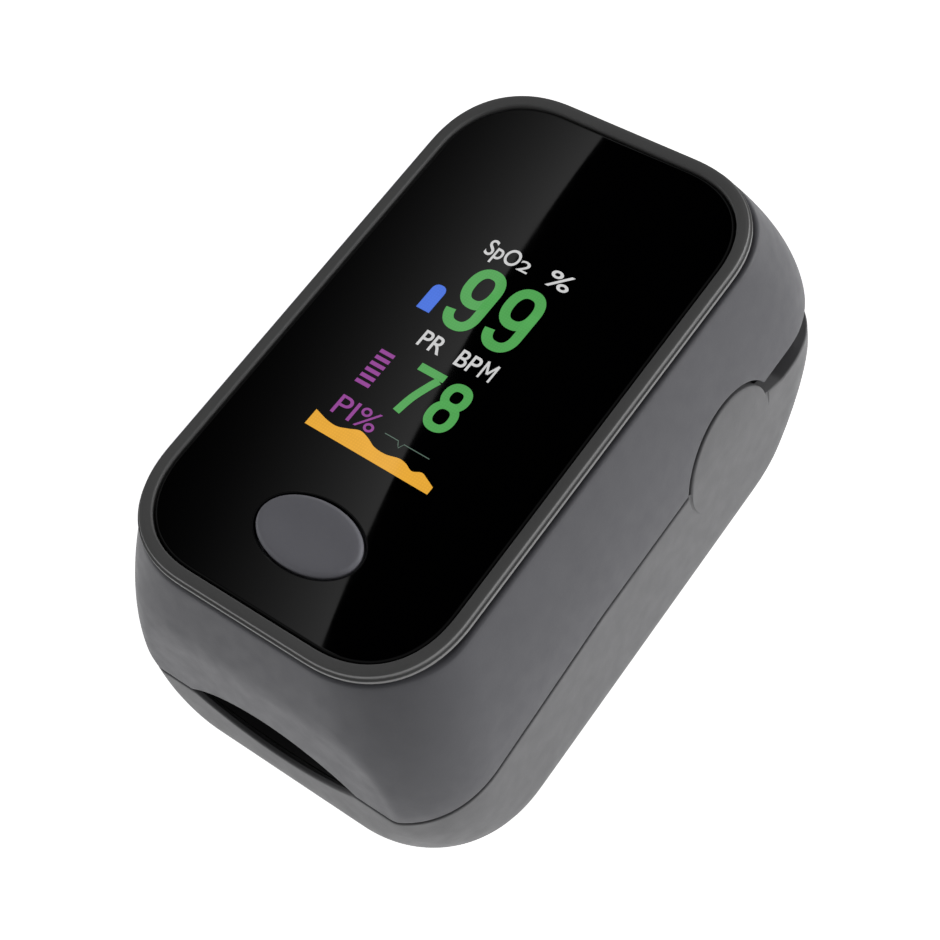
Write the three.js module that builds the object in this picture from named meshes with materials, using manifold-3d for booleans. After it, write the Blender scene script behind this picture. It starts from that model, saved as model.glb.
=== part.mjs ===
// Fingertip pulse oximeter, millimetres, +Z up.
// Two hinged plastic halves close on a finger: the mouth faces -Y, the hinge runs along X near the rear.
// The origin is the centre of the footprint, on the surface that the closed oximeter rests on.

import * as THREE from 'three';
import { mergeVertices } from 'three/addons/utils/BufferGeometryUtils.js';
import Module from 'manifold-3d';

const wasm = await Module();
wasm.setup();

// ---------------------------------------------------------------- driving dimensions

const HEIGHT = 31.3;
const WIDTH = 36;
const WALL = 1.6;
const GAP = 0.3;

// Outer body: upright sides at the seam, drawn in towards the window and rounded under the base.
const WAIST_Z = 15;
const CORNER_FRONT = 9.2;
const CORNER_REAR = 8.8;
const CORNER_POWER = 2.2;
const SIDE_DRAW_IN = 2.7;
const BASE_EDGE_RADIUS = 4.5;
const NOSE_Y = 31.4;
const NOSE_DRAW_IN = 4.6;
const CHIN_Z = 12;
const CHIN_DEPTH = 5;
const CORNER_GROWTH = 3.8;
const TAIL_Y = 31.1;
const TAIL_Z = 18;
const TAIL_DRAW_IN = 3.8;
const HEEL_Z = 12;
const HEEL_DEPTH = 11.3;
const HEEL_POWER = 1.6;

// Mouth facade: a plane that leans out by 1 in 10 and meets the nose in an arched crease.
const FACADE_Y = 29.5;
const FACADE_Z = 23.9;
const FACADE_LEAN = 0.1;
const LIP_WALL = 0.45;

// Seam between the halves, seen from the side.
const SEAM_Z = 15.6;
const SEAM_BEND_Y = -7;
const SEAM_NOSE_Z = 13.6;
const SEAM_NOSE_Y = -31;

// Hinge.
const HINGE_Y = 12.5;
const HINGE_Z = 14.6;
const EAR_RADIUS = 6;
const EAR_CLEARANCE = 0.45;
const PIN_RADIUS = 1;
const SPRING_COIL_RADIUS = 1.7;
const SPRING_WIRE_RADIUS = 0.28;
const SPRING_TURNS = 5;

// Window, bezel and button.
const WINDOW_Y = 0.22;
const LENS_HALF_WIDTH = 14.24;
const LENS_HALF_LENGTH = 25.96;
const LENS_CORNER = 8;
const LENS_TOP = 31;
const LENS_BOTTOM = 29.8;
const BEZEL_OUT = 1.4;
const BEZEL_BOTTOM = 30.45;
const GASKET_OUT = 0.5;
const LIP_TOP = 30.2;
const SIDE_LIP_TOP = 29.75;
const LIP_INNER = 0.9;
const ROOF_TOP = 29.1;
const ROOF_BOTTOM = 27.9;
const BUTTON_Y = -18.4;
const BUTTON_HALF = { x: 5, y: 3.15 };

// Inside.
const CELL_RADIUS = 5.25;
const CELL_LENGTH = 44.5;
const CELL_X = 5.45;
const CELL_Z = 6.95;
const CELL_FRONT_Y = -24.2;
const DOOR_HALF_WIDTH = 11.6;
const DOOR_FRONT_Y = -21;
const DOOR_THICKNESS = 1.25;
const DOOR_LIP_Z = 5;
const TRAY_Z = 12.35;
const TRAY_TOP = 13.3;
const LID_Z = 21.4;
const LID_TOP = 22.4;
const BOARD_Z = 24.6;
const BOARD_TOP = 25.6;
const CHANNEL_HALF_WIDTH = 10.6;
const STOP_Y = 9.2;
const SENSOR_Y = -8;

// ---------------------------------------------------------------- solids

const CORNER_STEPS = 7;

function toSolid(geometry) {
  const bare = geometry.index ? geometry.toNonIndexed() : geometry.clone();
  bare.deleteAttribute('normal');
  bare.deleteAttribute('uv');
  const merged = mergeVertices(bare, 1e-4);
  return new wasm.Manifold(new wasm.Mesh({
    numProp: 3,
    vertProperties: new Float32Array(merged.attributes.position.array),
    triVerts: new Uint32Array(merged.index.array),
  }));
}

function toGeometry(solid) {
  const mesh = solid.getMesh();
  const geometry = new THREE.BufferGeometry();
  geometry.setAttribute('position', new THREE.BufferAttribute(new Float32Array(mesh.vertProperties), 3));
  geometry.setIndex(new THREE.BufferAttribute(new Uint32Array(mesh.triVerts), 1));
  return geometry;
}

// Closed solid through rings of equally many points, the rings counter-clockwise seen from the last one.
function loft(rings) {
  const count = rings[0].length;
  const positions = [];
  const index = [];
  rings.forEach((ring) => ring.forEach((p) => positions.push(p[0], p[1], p[2])));
  for (let level = 0; level + 1 < rings.length; level += 1) {
    for (let i = 0; i < count; i += 1) {
      const a = level * count + i;
      const b = level * count + ((i + 1) % count);
      index.push(a, b, b + count, a, b + count, a + count);
    }
  }
  const last = (rings.length - 1) * count;
  for (let i = 1; i + 1 < count; i += 1) {
    index.push(0, i + 1, i);
    index.push(last, last + i, last + i + 1);
  }
  const geometry = new THREE.BufferGeometry();
  geometry.setAttribute('position', new THREE.BufferAttribute(new Float32Array(positions), 3));
  geometry.setIndex(index);
  return toSolid(geometry);
}

function box(x, y, z) {
  const geometry = new THREE.BoxGeometry(x[1] - x[0], y[1] - y[0], z[1] - z[0]);
  geometry.translate((x[0] + x[1]) / 2, (y[0] + y[1]) / 2, (z[0] + z[1]) / 2);
  return toSolid(geometry);
}

function extrude(shape, depth, steps = 12) {
  return new THREE.ExtrudeGeometry(shape, { depth, bevelEnabled: false, curveSegments: steps });
}

function polygon(points) {
  return new THREE.Shape(points.map((p) => new THREE.Vector2(p[0], p[1])));
}

// Profile in Y and Z, swept along X.
function sweepX(points, x0, x1) {
  const geometry = extrude(polygon(points), x1 - x0);
  geometry.applyMatrix4(new THREE.Matrix4().set(0, 0, 1, x0, 1, 0, 0, 0, 0, 1, 0, 0, 0, 0, 0, 1));
  return toSolid(geometry);
}

// Profile in X and Y, swept along Z.
function sweepZ(points, z0, z1) {
  const geometry = extrude(polygon(points), z1 - z0);
  geometry.translate(0, 0, z0);
  return toSolid(geometry);
}

function rodX(radius, x0, x1, y, z, sides = 24) {
  const geometry = new THREE.CylinderGeometry(radius, radius, x1 - x0, sides);
  geometry.rotateZ(Math.PI / 2);
  geometry.translate((x0 + x1) / 2, y, z);
  return toSolid(geometry);
}

function rodY(radius, y0, y1, x, z, sides = 24) {
  const geometry = new THREE.CylinderGeometry(radius, radius, y1 - y0, sides);
  geometry.translate(x, (y0 + y1) / 2, z);
  return toSolid(geometry);
}

function rodZ(radius, z0, z1, x, y, sides = 20) {
  const geometry = new THREE.CylinderGeometry(radius, radius, z1 - z0, sides);
  geometry.rotateX(Math.PI / 2);
  geometry.translate(x, y, (z0 + z1) / 2);
  return toSolid(geometry);
}

// Rounded rectangle with superelliptic corners, counter-clockwise from above.
function roundedOutline(halfWidth, front, rear, cornerFront, cornerRear, power) {
  const points = [];
  const corners = [
    { sx: 1, sy: 1, radius: cornerRear, edge: rear, from: 0 },
    { sx: -1, sy: 1, radius: cornerRear, edge: rear, from: 1 },
    { sx: -1, sy: -1, radius: cornerFront, edge: front, from: 0 },
    { sx: 1, sy: -1, radius: cornerFront, edge: front, from: 1 },
  ];
  corners.forEach((corner) => {
    for (let i = 0; i <= CORNER_STEPS; i += 1) {
      const step = corner.from === 0 ? i : CORNER_STEPS - i;
      const angle = (step / CORNER_STEPS) * (Math.PI / 2);
      const across = corner.radius * Math.cos(angle) ** (2 / power);
      const along = corner.radius * Math.sin(angle) ** (2 / power);
      points.push([
        corner.sx * (halfWidth - corner.radius + across),
        corner.sy * (corner.edge - corner.radius + along),
      ]);
    }
  });
  return points;
}

// Quarter superellipse from 0 at the base to 1 at the given height.
function roundUnder(z, height, power) {
  const drop = Math.min(1, Math.max(0, 1 - z / height));
  return (1 - drop ** power) ** (1 / power);
}

// Outline of the body at one height, drawn in by inset.
function bodyRing(z, inset = 0) {
  const rise = Math.max(0, (z - WAIST_Z) / (HEIGHT - WAIST_Z));
  const tailRise = Math.max(0, (z - TAIL_Z) / (HEIGHT - TAIL_Z));
  const side = WIDTH / 2 - SIDE_DRAW_IN * rise ** 1.8
    - BASE_EDGE_RADIUS * (1 - roundUnder(z, BASE_EDGE_RADIUS, 2));
  const front = NOSE_Y - NOSE_DRAW_IN * rise ** 1.45
    - CHIN_DEPTH * (1 - roundUnder(z, CHIN_Z, 2));
  const rear = TAIL_Y - TAIL_DRAW_IN * tailRise ** 1.6
    - HEEL_DEPTH * (1 - roundUnder(z, HEEL_Z, HEEL_POWER));
  const grown = CORNER_GROWTH * (1 - roundUnder(z, CHIN_Z, 2)) ** 0.75 - inset;
  return roundedOutline(
    side - inset, front - inset, rear - inset,
    CORNER_FRONT + grown, CORNER_REAR + grown, CORNER_POWER,
  ).map((p) => [p[0], p[1], z]);
}

function bodyLoft(levels, inset = 0) {
  return loft(levels.map((z) => bodyRing(z, inset)));
}

function facadeHalfSpace(inset = 0) {
  const at = (z) => -(FACADE_Y - inset + FACADE_LEAN * (FACADE_Z - z));
  return sweepX([[at(-5), -5], [60, -5], [60, 40], [at(40), 40]], -30, 30);
}

function seamZ(y) {
  if (y >= SEAM_BEND_Y) {
    return SEAM_Z;
  }
  return SEAM_Z + ((SEAM_NOSE_Z - SEAM_Z) * (SEAM_BEND_Y - y)) / (SEAM_BEND_Y - SEAM_NOSE_Y);
}

const REAR_EDGE_UPPER = [[HINGE_Y, 17.2], [24.5, 17.2], [40, 18.3]];
const REAR_EDGE_LOWER = [[40, 11.9], [24.5, 14.3], [21, 14.4], [18.2, SEAM_Z]];

function aboveSeam(raise) {
  return sweepX([
    [-40, seamZ(-40) + raise], [SEAM_BEND_Y, SEAM_Z + raise], [HINGE_Y, SEAM_Z + raise],
    ...REAR_EDGE_UPPER.map((p) => [p[0], p[1] + raise - GAP]), [40, 40], [-40, 40],
  ], -30, 30);
}

function belowSeam(lower) {
  return sweepX([
    [-40, -5], [40, -5], ...REAR_EDGE_LOWER.map((p) => [p[0], p[1] - lower]),
    [SEAM_BEND_Y, SEAM_Z - lower], [-40, seamZ(-40) - lower],
  ], -30, 30);
}

// Space that the finger fills: an eye-shaped mouth that opens into a round-bottomed channel.
const FINGER_SECTIONS = [
  { y: -38, half: 9.2, z: 13.9, up: 3.4, down: 2.4, power: 0.9 },
  { y: -29, half: 9.2, z: 13.9, up: 3.4, down: 2.4, power: 0.9 },
  { y: -25, half: 9.3, z: 14.4, up: 4.6, down: 1.5, power: 0.7 },
  { y: -21, half: 9.2, z: 15.0, up: 4.5, down: 0.8, power: 0.55 },
  { y: -6, half: 9.2, z: 15.6, up: 4.0, down: 1.4, power: 0.5 },
  { y: 2, half: 9.0, z: 15.6, up: 4.0, down: 1.4, power: 0.5 },
  { y: 5.5, half: 7.6, z: 15.6, up: 3.6, down: 1.3, power: 0.5 },
  { y: 7.4, half: 5.2, z: 15.6, up: 2.7, down: 1.0, power: 0.5 },
  { y: 8.2, half: 2.4, z: 15.6, up: 1.2, down: 0.5, power: 0.5 },
];
const FINGER_STEPS = 12;

function fingerSpace(grow = 0) {
  const rings = FINGER_SECTIONS.map((section) => {
    const ring = [];
    for (let i = 0; i < 2 * FINGER_STEPS; i += 1) {
      const angle = (i / FINGER_STEPS) * Math.PI;
      const across = Math.cos(angle);
      const height = (i <= FINGER_STEPS ? section.up + grow : -section.down - grow);
      const lift = Math.max(0, 1 - across * across) ** section.power;
      ring.push([(section.half + grow) * across, section.y, section.z + height * lift]);
    }
    return ring.reverse();
  });
  return loft(rings);
}

// Room behind the thin lips of the mouth, which the noses of the two finger pads line.
function mouthPocket() {
  return fingerSpace(0.9)
    .intersect(facadeHalfSpace(LIP_WALL))
    .intersect(box([-30, 30], [-40, -27], [0, 40]));
}

function padNose() {
  return fingerSpace(0.6)
    .intersect(facadeHalfSpace(LIP_WALL + GAP))
    .intersect(box([-30, 30], [-40, -28], [0, 40]));
}

const finger = fingerSpace();

function ellipse(halfX, halfY, centreY, steps = 36) {
  const points = [];
  for (let i = 0; i < steps; i += 1) {
    const angle = (i / steps) * 2 * Math.PI;
    points.push([halfX * Math.cos(angle), centreY + halfY * Math.sin(angle)]);
  }
  return points;
}

function buttonHole(grow, z0, z1) {
  return sweepZ(ellipse(BUTTON_HALF.x + grow, BUTTON_HALF.y + grow, BUTTON_Y), z0, z1);
}

function windowOutline(grow) {
  return roundedOutline(
    LENS_HALF_WIDTH + grow, LENS_HALF_LENGTH - WINDOW_Y + grow, LENS_HALF_LENGTH + WINDOW_Y + grow,
    LENS_CORNER + grow, LENS_CORNER + grow, 2.3,
  );
}

function windowPlate(grow, z0, z1) {
  return sweepZ(windowOutline(grow), z0, z1);
}

// ---------------------------------------------------------------- materials

const materials = {
  shell: new THREE.MeshStandardMaterial({ color: '#5b5b62', roughness: 0.55, metalness: 0 }),
  lowerShell: new THREE.MeshStandardMaterial({ color: '#6a6a6c', roughness: 0.55, metalness: 0 }),
  bezel: new THREE.MeshStandardMaterial({ color: '#3f3f40', roughness: 0.45, metalness: 0 }),
  lens: new THREE.MeshStandardMaterial({ color: '#050506', roughness: 0.05, metalness: 0 }),
  button: new THREE.MeshStandardMaterial({ color: '#5d5d64', roughness: 0.5, metalness: 0 }),
  frame: new THREE.MeshStandardMaterial({ color: '#4a4a4d', roughness: 0.6, metalness: 0 }),
  rubber: new THREE.MeshStandardMaterial({ color: '#1b1b1d', roughness: 0.8, metalness: 0 }),
  board: new THREE.MeshStandardMaterial({ color: '#1f5a36', roughness: 0.5, metalness: 0 }),
  chip: new THREE.MeshStandardMaterial({ color: '#17171a', roughness: 0.4, metalness: 0 }),
  display: new THREE.MeshStandardMaterial({ color: '#0c0c10', roughness: 0.2, metalness: 0 }),
  flex: new THREE.MeshStandardMaterial({ color: '#a8682a', roughness: 0.4, metalness: 0 }),
  clear: new THREE.MeshStandardMaterial({ color: '#c8d4da', roughness: 0.1, metalness: 0 }),
  steel: new THREE.MeshStandardMaterial({ color: '#b4b6b8', roughness: 0.3, metalness: 1 }),
  brass: new THREE.MeshStandardMaterial({ color: '#c9a65a', roughness: 0.35, metalness: 1 }),
  cell: new THREE.MeshStandardMaterial({ color: '#2c5d8a', roughness: 0.35, metalness: 0.2 }),
};

const oximeter = new THREE.Group();

function add(name, solid, material) {
  const mesh = new THREE.Mesh(toGeometry(solid), material);
  mesh.name = name;
  oximeter.add(mesh);
}

// ---------------------------------------------------------------- shells

const UPPER_LEVELS = [11, 15, 18, 20.5, 23, 25, 27, ROOF_TOP];
const LOWER_LEVELS = [0, 0.4, 1.2, 2.4, 3.8, 6, 9, 12, 15, 18];
const UPPER_CAVITY_LEVELS = [8, 15, 19, 22, 25, ROOF_BOTTOM];
const LOWER_CAVITY_LEVELS = [WALL, 2.6, 4.2, 7, 10.5, 14, 20];

const DISPLAY = { halfWidth: 8.6, front: -13.4, rear: 15.8 };

function screwPost(x, y, z0, z1) {
  return rodZ(1.7, z0, z1, x, y);
}

const LOWER_SCREWS = [[14, -19], [-14, -19], [14, 23], [-14, 23]];
const UPPER_SCREWS = [[13.2, -19], [-13.2, -19], [12.6, 22.5], [-12.6, 22.5]];
const BOARD_SCREWS = [[11.2, -6], [-11.2, -6]];

function upperShell() {
  const posts = UPPER_SCREWS.map((p) => screwPost(p[0], p[1], LID_TOP + GAP, ROOF_BOTTOM + 0.5));
  const boardPosts = BOARD_SCREWS.map((p) => screwPost(p[0], p[1], BOARD_TOP + 0.1, ROOF_BOTTOM + 0.5));
  const cavity = bodyLoft(UPPER_CAVITY_LEVELS, WALL).intersect(facadeHalfSpace(WALL));
  let shell = bodyLoft(UPPER_LEVELS).intersect(facadeHalfSpace()).subtract(cavity);
  shell = wasm.Manifold.union([shell, ...posts, ...boardPosts]);
  UPPER_SCREWS.forEach((p) => {
    shell = shell.subtract(rodZ(0.85, LID_TOP - 1, ROOF_BOTTOM - 0.9, p[0], p[1], 12));
  });
  BOARD_SCREWS.forEach((p) => {
    shell = shell.subtract(rodZ(0.75, BOARD_TOP - 1, ROOF_BOTTOM - 0.4, p[0], p[1], 12));
  });
  const view = box(
    [-DISPLAY.halfWidth - 0.4, DISPLAY.halfWidth + 0.4],
    [DISPLAY.front - 0.4, DISPLAY.rear + 0.4], [ROOF_BOTTOM - 1, ROOF_TOP + 1],
  );
  const earNotch = EAR_RADIUS + EAR_CLEARANCE;
  const falling = [[-40, LIP_TOP], [-25.5, LIP_TOP], [-20.5, SIDE_LIP_TOP], [40, SIDE_LIP_TOP]];
  const lip = bodyLoft([ROOF_TOP - 0.5, ROOF_TOP, 29.6, LIP_TOP])
    .subtract(windowPlate(LIP_INNER, ROOF_TOP - 1, HEIGHT))
    .intersect(sweepX([[-40, 20], [40, 20], ...falling.reverse()], -30, 30));
  return shell
    .add(lip)
    .intersect(aboveSeam(GAP))
    .subtract(view)
    .subtract(buttonHole(1.4, ROOF_BOTTOM - 1, ROOF_TOP + 1))
    .subtract(finger)
    .subtract(mouthPocket())
    .subtract(rodX(earNotch, 13, 22, HINGE_Y, HINGE_Z, 48))
    .subtract(rodX(earNotch, -22, -13, HINGE_Y, HINGE_Z, 48));
}

// Ear: a low dome on the outside, flat inside, with a blind hole for the pin.
function ear(side) {
  const profile = [
    [0, 16.5], [EAR_RADIUS, 16.5], [EAR_RADIUS, 17.55], [5.7, 17.78], [4.4, 17.9], [2.4, 17.97], [0, 18],
  ];
  const geometry = new THREE.LatheGeometry(profile.map((p) => new THREE.Vector2(p[0], p[1])), 48);
  geometry.rotateZ(-Math.PI / 2);
  if (side < 0) {
    geometry.rotateZ(Math.PI);
  }
  geometry.translate(0, HINGE_Y, HINGE_Z);
  return toSolid(geometry);
}

function doorSpace(clear) {
  return box(
    [-DOOR_HALF_WIDTH - clear, DOOR_HALF_WIDTH + clear],
    [DOOR_FRONT_Y - clear, 40],
    [-1, DOOR_LIP_Z + clear],
  );
}

function lowerShell() {
  const cavity = bodyLoft(LOWER_CAVITY_LEVELS, WALL).intersect(facadeHalfSpace(WALL));
  const posts = LOWER_SCREWS.map((p) => screwPost(p[0], p[1], 1, TRAY_Z - 0.15)
    .intersect(bodyLoft(LOWER_LEVELS, 0.8)));
  let shell = bodyLoft(LOWER_LEVELS).intersect(facadeHalfSpace()).subtract(cavity);
  shell = wasm.Manifold.union([shell, ...posts]).intersect(belowSeam(0));
  LOWER_SCREWS.forEach((p) => {
    shell = shell.subtract(rodZ(0.85, 6, TRAY_Z + 1, p[0], p[1], 12));
  });
  const cup = rodX(EAR_RADIUS, 16.4, 17.4, HINGE_Y, HINGE_Z, 48);
  const otherCup = rodX(EAR_RADIUS, -17.4, -16.4, HINGE_Y, HINGE_Z, 48);
  return shell
    .subtract(doorSpace(0.15))
    .subtract(finger)
    .subtract(mouthPocket())
    .subtract(cup.intersect(box([-30, 30], [-40, 40], [HINGE_Z, 40])))
    .subtract(otherCup.intersect(box([-30, 30], [-40, 40], [HINGE_Z, 40])))
    .add(ear(1))
    .add(ear(-1))
    .subtract(rodX(PIN_RADIUS + 0.15, -17.1, 17.1, HINGE_Y, HINGE_Z));
}

function batteryDoor() {
  const skin = bodyLoft(LOWER_LEVELS).subtract(bodyLoft([DOOR_THICKNESS, 2.2, 3.4, 5, 7], DOOR_THICKNESS));
  return skin.intersect(doorSpace(0));
}

add('upper_shell', upperShell(), materials.shell);
add('lower_shell', lowerShell(), materials.lowerShell);
add('battery_door', batteryDoor(), materials.lowerShell);

// ---------------------------------------------------------------- window, bezel and button

function bezelRing() {
  const crown = [[BEZEL_OUT, BEZEL_BOTTOM], [BEZEL_OUT, 30.85], [1.25, 31.15], [0.95, HEIGHT]];
  const rings = crown.map((p) => windowOutline(p[0]).map((q) => [q[0], q[1], p[1]]));
  return loft(rings).subtract(windowPlate(0.15, BEZEL_BOTTOM - 0.5, HEIGHT + 1));
}

// Dark seal between the roof and the bezel that keeps dust out of the display.
function windowGasket() {
  return windowPlate(GASKET_OUT, ROOF_TOP + 0.05, BEZEL_BOTTOM - 0.05)
    .subtract(windowPlate(0.1, ROOF_TOP - 1, HEIGHT));
}

function windowLens() {
  const crown = [[0, LENS_BOTTOM], [0, LENS_TOP - 0.12], [-0.12, LENS_TOP]];
  const rings = crown.map((p) => windowOutline(p[0]).map((q) => [q[0], q[1], p[1]]));
  return loft(rings).subtract(buttonHole(0.2, 29, 32));
}

function lensAdhesive() {
  const opening = box(
    [-DISPLAY.halfWidth - 0.4, DISPLAY.halfWidth + 0.4],
    [DISPLAY.front - 0.4, DISPLAY.rear + 0.4], [29, 30],
  );
  return windowPlate(-0.6, ROOF_TOP + 0.05, LENS_BOTTOM - 0.05)
    .subtract(opening)
    .subtract(buttonHole(1.6, 29, 30));
}

function powerButton() {
  const cap = [[0, 29.4], [0, 30.9], [-0.25, 31.15], [-0.9, 31.27], [-1.8, HEIGHT]];
  const rings = cap.map((p) => ellipse(BUTTON_HALF.x + p[0], BUTTON_HALF.y + p[0], BUTTON_Y)
    .map((q) => [q[0], q[1], p[1]]));
  return loft(rings).add(buttonHole(1, 28.95, 29.5));
}

add('bezel_ring', bezelRing(), materials.bezel);
add('window_gasket', windowGasket(), materials.rubber);
add('window_lens', windowLens(), materials.lens);
add('lens_adhesive', lensAdhesive(), materials.rubber);
add('power_button', powerButton(), materials.button);

// ---------------------------------------------------------------- display and circuit board

function displayFrame() {
  const outer = box(
    [-DISPLAY.halfWidth - 0.6, DISPLAY.halfWidth + 0.6],
    [DISPLAY.front - 1, DISPLAY.rear - 0.2], [BOARD_TOP + 0.1, 26.7],
  );
  const inner = box(
    [-DISPLAY.halfWidth + 1.2, DISPLAY.halfWidth - 1.2],
    [DISPLAY.front + 1.2, DISPLAY.rear - 1.2], [25, 27],
  );
  return outer.subtract(inner);
}

function mainBoard() {
  const outline = roundedOutline(12.2, 24.6, 25, 4, 4, 2);
  let board = sweepZ(outline, BOARD_Z, BOARD_TOP);
  UPPER_SCREWS.forEach((p) => {
    board = board.subtract(rodZ(2.1, BOARD_Z - 1, BOARD_TOP + 1, p[0], p[1]));
  });
  BOARD_SCREWS.forEach((p) => {
    board = board.subtract(rodZ(0.95, BOARD_Z - 1, BOARD_TOP + 1, p[0], p[1], 12));
  });
  return board;
}

function displayRibbon() {
  const top = 27.6;
  const bottom = 26.1;
  const thick = 0.25;
  const y = DISPLAY.rear + 0.15;
  const outer = new THREE.Shape();
  outer.moveTo(y, top);
  outer.lineTo(y + 1.4, top);
  outer.absarc(y + 1.4, (top + bottom) / 2, (top - bottom) / 2, Math.PI / 2, -Math.PI / 2, true);
  outer.lineTo(y + 1.15, bottom);
  outer.lineTo(y + 1.15, bottom + thick);
  outer.lineTo(y + 1.4, bottom + thick);
  outer.absarc(y + 1.4, (top + bottom) / 2, (top - bottom) / 2 - thick, -Math.PI / 2, Math.PI / 2, false);
  outer.lineTo(y, top - thick);
  outer.closePath();
  const geometry = extrude(outer, 8, 8);
  geometry.applyMatrix4(new THREE.Matrix4().set(0, 0, 1, -4, 1, 0, 0, 0, 0, 1, 0, 0, 0, 0, 0, 1));
  return toSolid(geometry);
}

const DISPLAY_BOX = [[-DISPLAY.halfWidth, DISPLAY.halfWidth], [DISPLAY.front, DISPLAY.rear], [26.8, 29.05]];

add('display_module', box(...DISPLAY_BOX), materials.display);
add('display_frame', displayFrame(), materials.frame);
add('display_ribbon', displayRibbon(), materials.flex);
add('main_board', mainBoard(), materials.board);
add('ribbon_socket', box([-5, 5], [18.7, 21.4], [BOARD_TOP + 0.05, 27]), materials.chip);
add('processor_chip', box([-3.6, 3.6], [-3, 4.2], [BOARD_Z - 1.1, BOARD_Z - 0.05]), materials.chip);
add('amplifier_chip', box([-2.2, 2.2], [-14.5, -11], [BOARD_Z - 0.95, BOARD_Z - 0.05]), materials.chip);
add('boost_inductor', box([5.5, 9], [15, 18.5], [BOARD_Z - 1.5, BOARD_Z - 0.05]), materials.chip);
add('clock_crystal', box([-9, -6.4], [8, 11.2], [BOARD_Z - 0.8, BOARD_Z - 0.05]), materials.steel);

const SWITCH_HALF = 3;
const switchBody = box(
  [-SWITCH_HALF, SWITCH_HALF], [BUTTON_Y - SWITCH_HALF, BUTTON_Y + SWITCH_HALF], [BOARD_TOP + 0.05, 28],
).subtract(rodZ(1.9, 26.5, 29, 0, BUTTON_Y));
add('switch_body', switchBody, materials.chip);
add('switch_plunger', rodZ(1.6, 27.2, 28.85, 0, BUTTON_Y), materials.rubber);

// ---------------------------------------------------------------- finger channel, upper half

const LUG = { inner: 14.3, outer: 15.8, radius: 3.1 };

function mirrored(make) {
  return [make(1), make(-1)];
}

function spanX(side, x0, x1) {
  return side > 0 ? [x0, x1] : [-x1, -x0];
}

function hingeLug(side, x0, x1, z0, z1) {
  const span = spanX(side, x0, x1);
  const web = box(span, [HINGE_Y - LUG.radius, HINGE_Y + LUG.radius], [z0, z1]);
  return rodX(LUG.radius, span[0], span[1], HINGE_Y, HINGE_Z).add(web);
}

function upperInnerFrame() {
  const inside = bodyLoft([13, 15, 18, 21, 24], WALL + GAP).intersect(facadeHalfSpace(WALL + GAP));
  const lid = box([-30, 30], [-40, 40], [LID_Z, LID_TOP]);
  const flange = aboveSeam(0.6).subtract(aboveSeam(1.6));
  const wallSpan = [-CHANNEL_HALF_WIDTH - 1, CHANNEL_HALF_WIDTH + 1];
  const channelWalls = box(wallSpan, [-40, STOP_Y + 1.4], [10, LID_Z + 0.5]).intersect(aboveSeam(0.6));
  const channel = box([-CHANNEL_HALF_WIDTH, CHANNEL_HALF_WIDTH], [-40, STOP_Y + 0.4], [8, LID_Z]);
  const bayLength = [HINGE_Y - 5.3, HINGE_Y + 6.6];
  const hingeBay = mirrored((side) => box(spanX(side, 8, 20), bayLength, [8, LID_Z - 1]));
  const behindStop = box([-30, 30], [STOP_Y + 1.4, 40], [8, LID_Z]);
  const lugs = mirrored((side) => hingeLug(side, LUG.inner, LUG.outer, HINGE_Z, LID_TOP));
  let frame = wasm.Manifold.union([lid, flange.subtract(behindStop), channelWalls]).subtract(channel);
  hingeBay.forEach((bay) => {
    frame = frame.subtract(bay);
  });
  frame = wasm.Manifold.union([frame, ...lugs]).intersect(inside);
  mirrored((side) => spanX(side, 13.9, 16.2)).forEach((span) => {
    frame = frame.subtract(rodX(PIN_RADIUS + 0.15, span[0], span[1], HINGE_Y, HINGE_Z));
  });
  UPPER_SCREWS.forEach((p) => {
    frame = frame.subtract(rodZ(0.95, LID_Z - 1, LID_TOP + 1, p[0], p[1], 12));
  });
  return frame
    .subtract(box([-4, 4], [11.2, 15.4], [LID_Z - 1, LID_TOP + 1]))
    .subtract(box([-2.4, 2.4], [SENSOR_Y - 2.2, SENSOR_Y + 2.2], [LID_Z - 1, LID_TOP + 1]));
}

function upperFingerPad() {
  const blockWidth = [-CHANNEL_HALF_WIDTH + GAP, CHANNEL_HALF_WIDTH - GAP];
  const block = box(blockWidth, [-28.2, STOP_Y], [10, LID_Z - GAP]);
  return block
    .intersect(facadeHalfSpace(WALL + GAP))
    .add(padNose())
    .intersect(aboveSeam(0.4))
    .subtract(finger)
    .subtract(rodZ(2.2, 18, 23, 0, SENSOR_Y, 24));
}

add('upper_inner_frame', upperInnerFrame(), materials.frame);
add('upper_finger_pad', upperFingerPad(), materials.rubber);
const emitterBoard = box([-4, 4], [SENSOR_Y - 3, SENSOR_Y + 3], [LID_TOP + 0.05, LID_TOP + 0.75]);
add('emitter_board', emitterBoard, materials.board);
add('led_emitter', box([-1.5, 1.5], [SENSOR_Y - 1.2, SENSOR_Y + 1.2], [20.75, LID_TOP]), materials.clear);
add('emitter_window', rodZ(1.95, 19.85, 20.6, 0, SENSOR_Y, 24), materials.clear);

// ---------------------------------------------------------------- finger channel, lower half

const LOWER_LUG = { inner: 12.4, outer: 13.9 };
const SPRING_SPAN = { inner: 8.5, outer: 12.1 };
const BAY_HALF_WIDTH = 11;
const BAY_FRONT_Y = -28;
const BAY_REAR_Y = 21.4;

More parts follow.
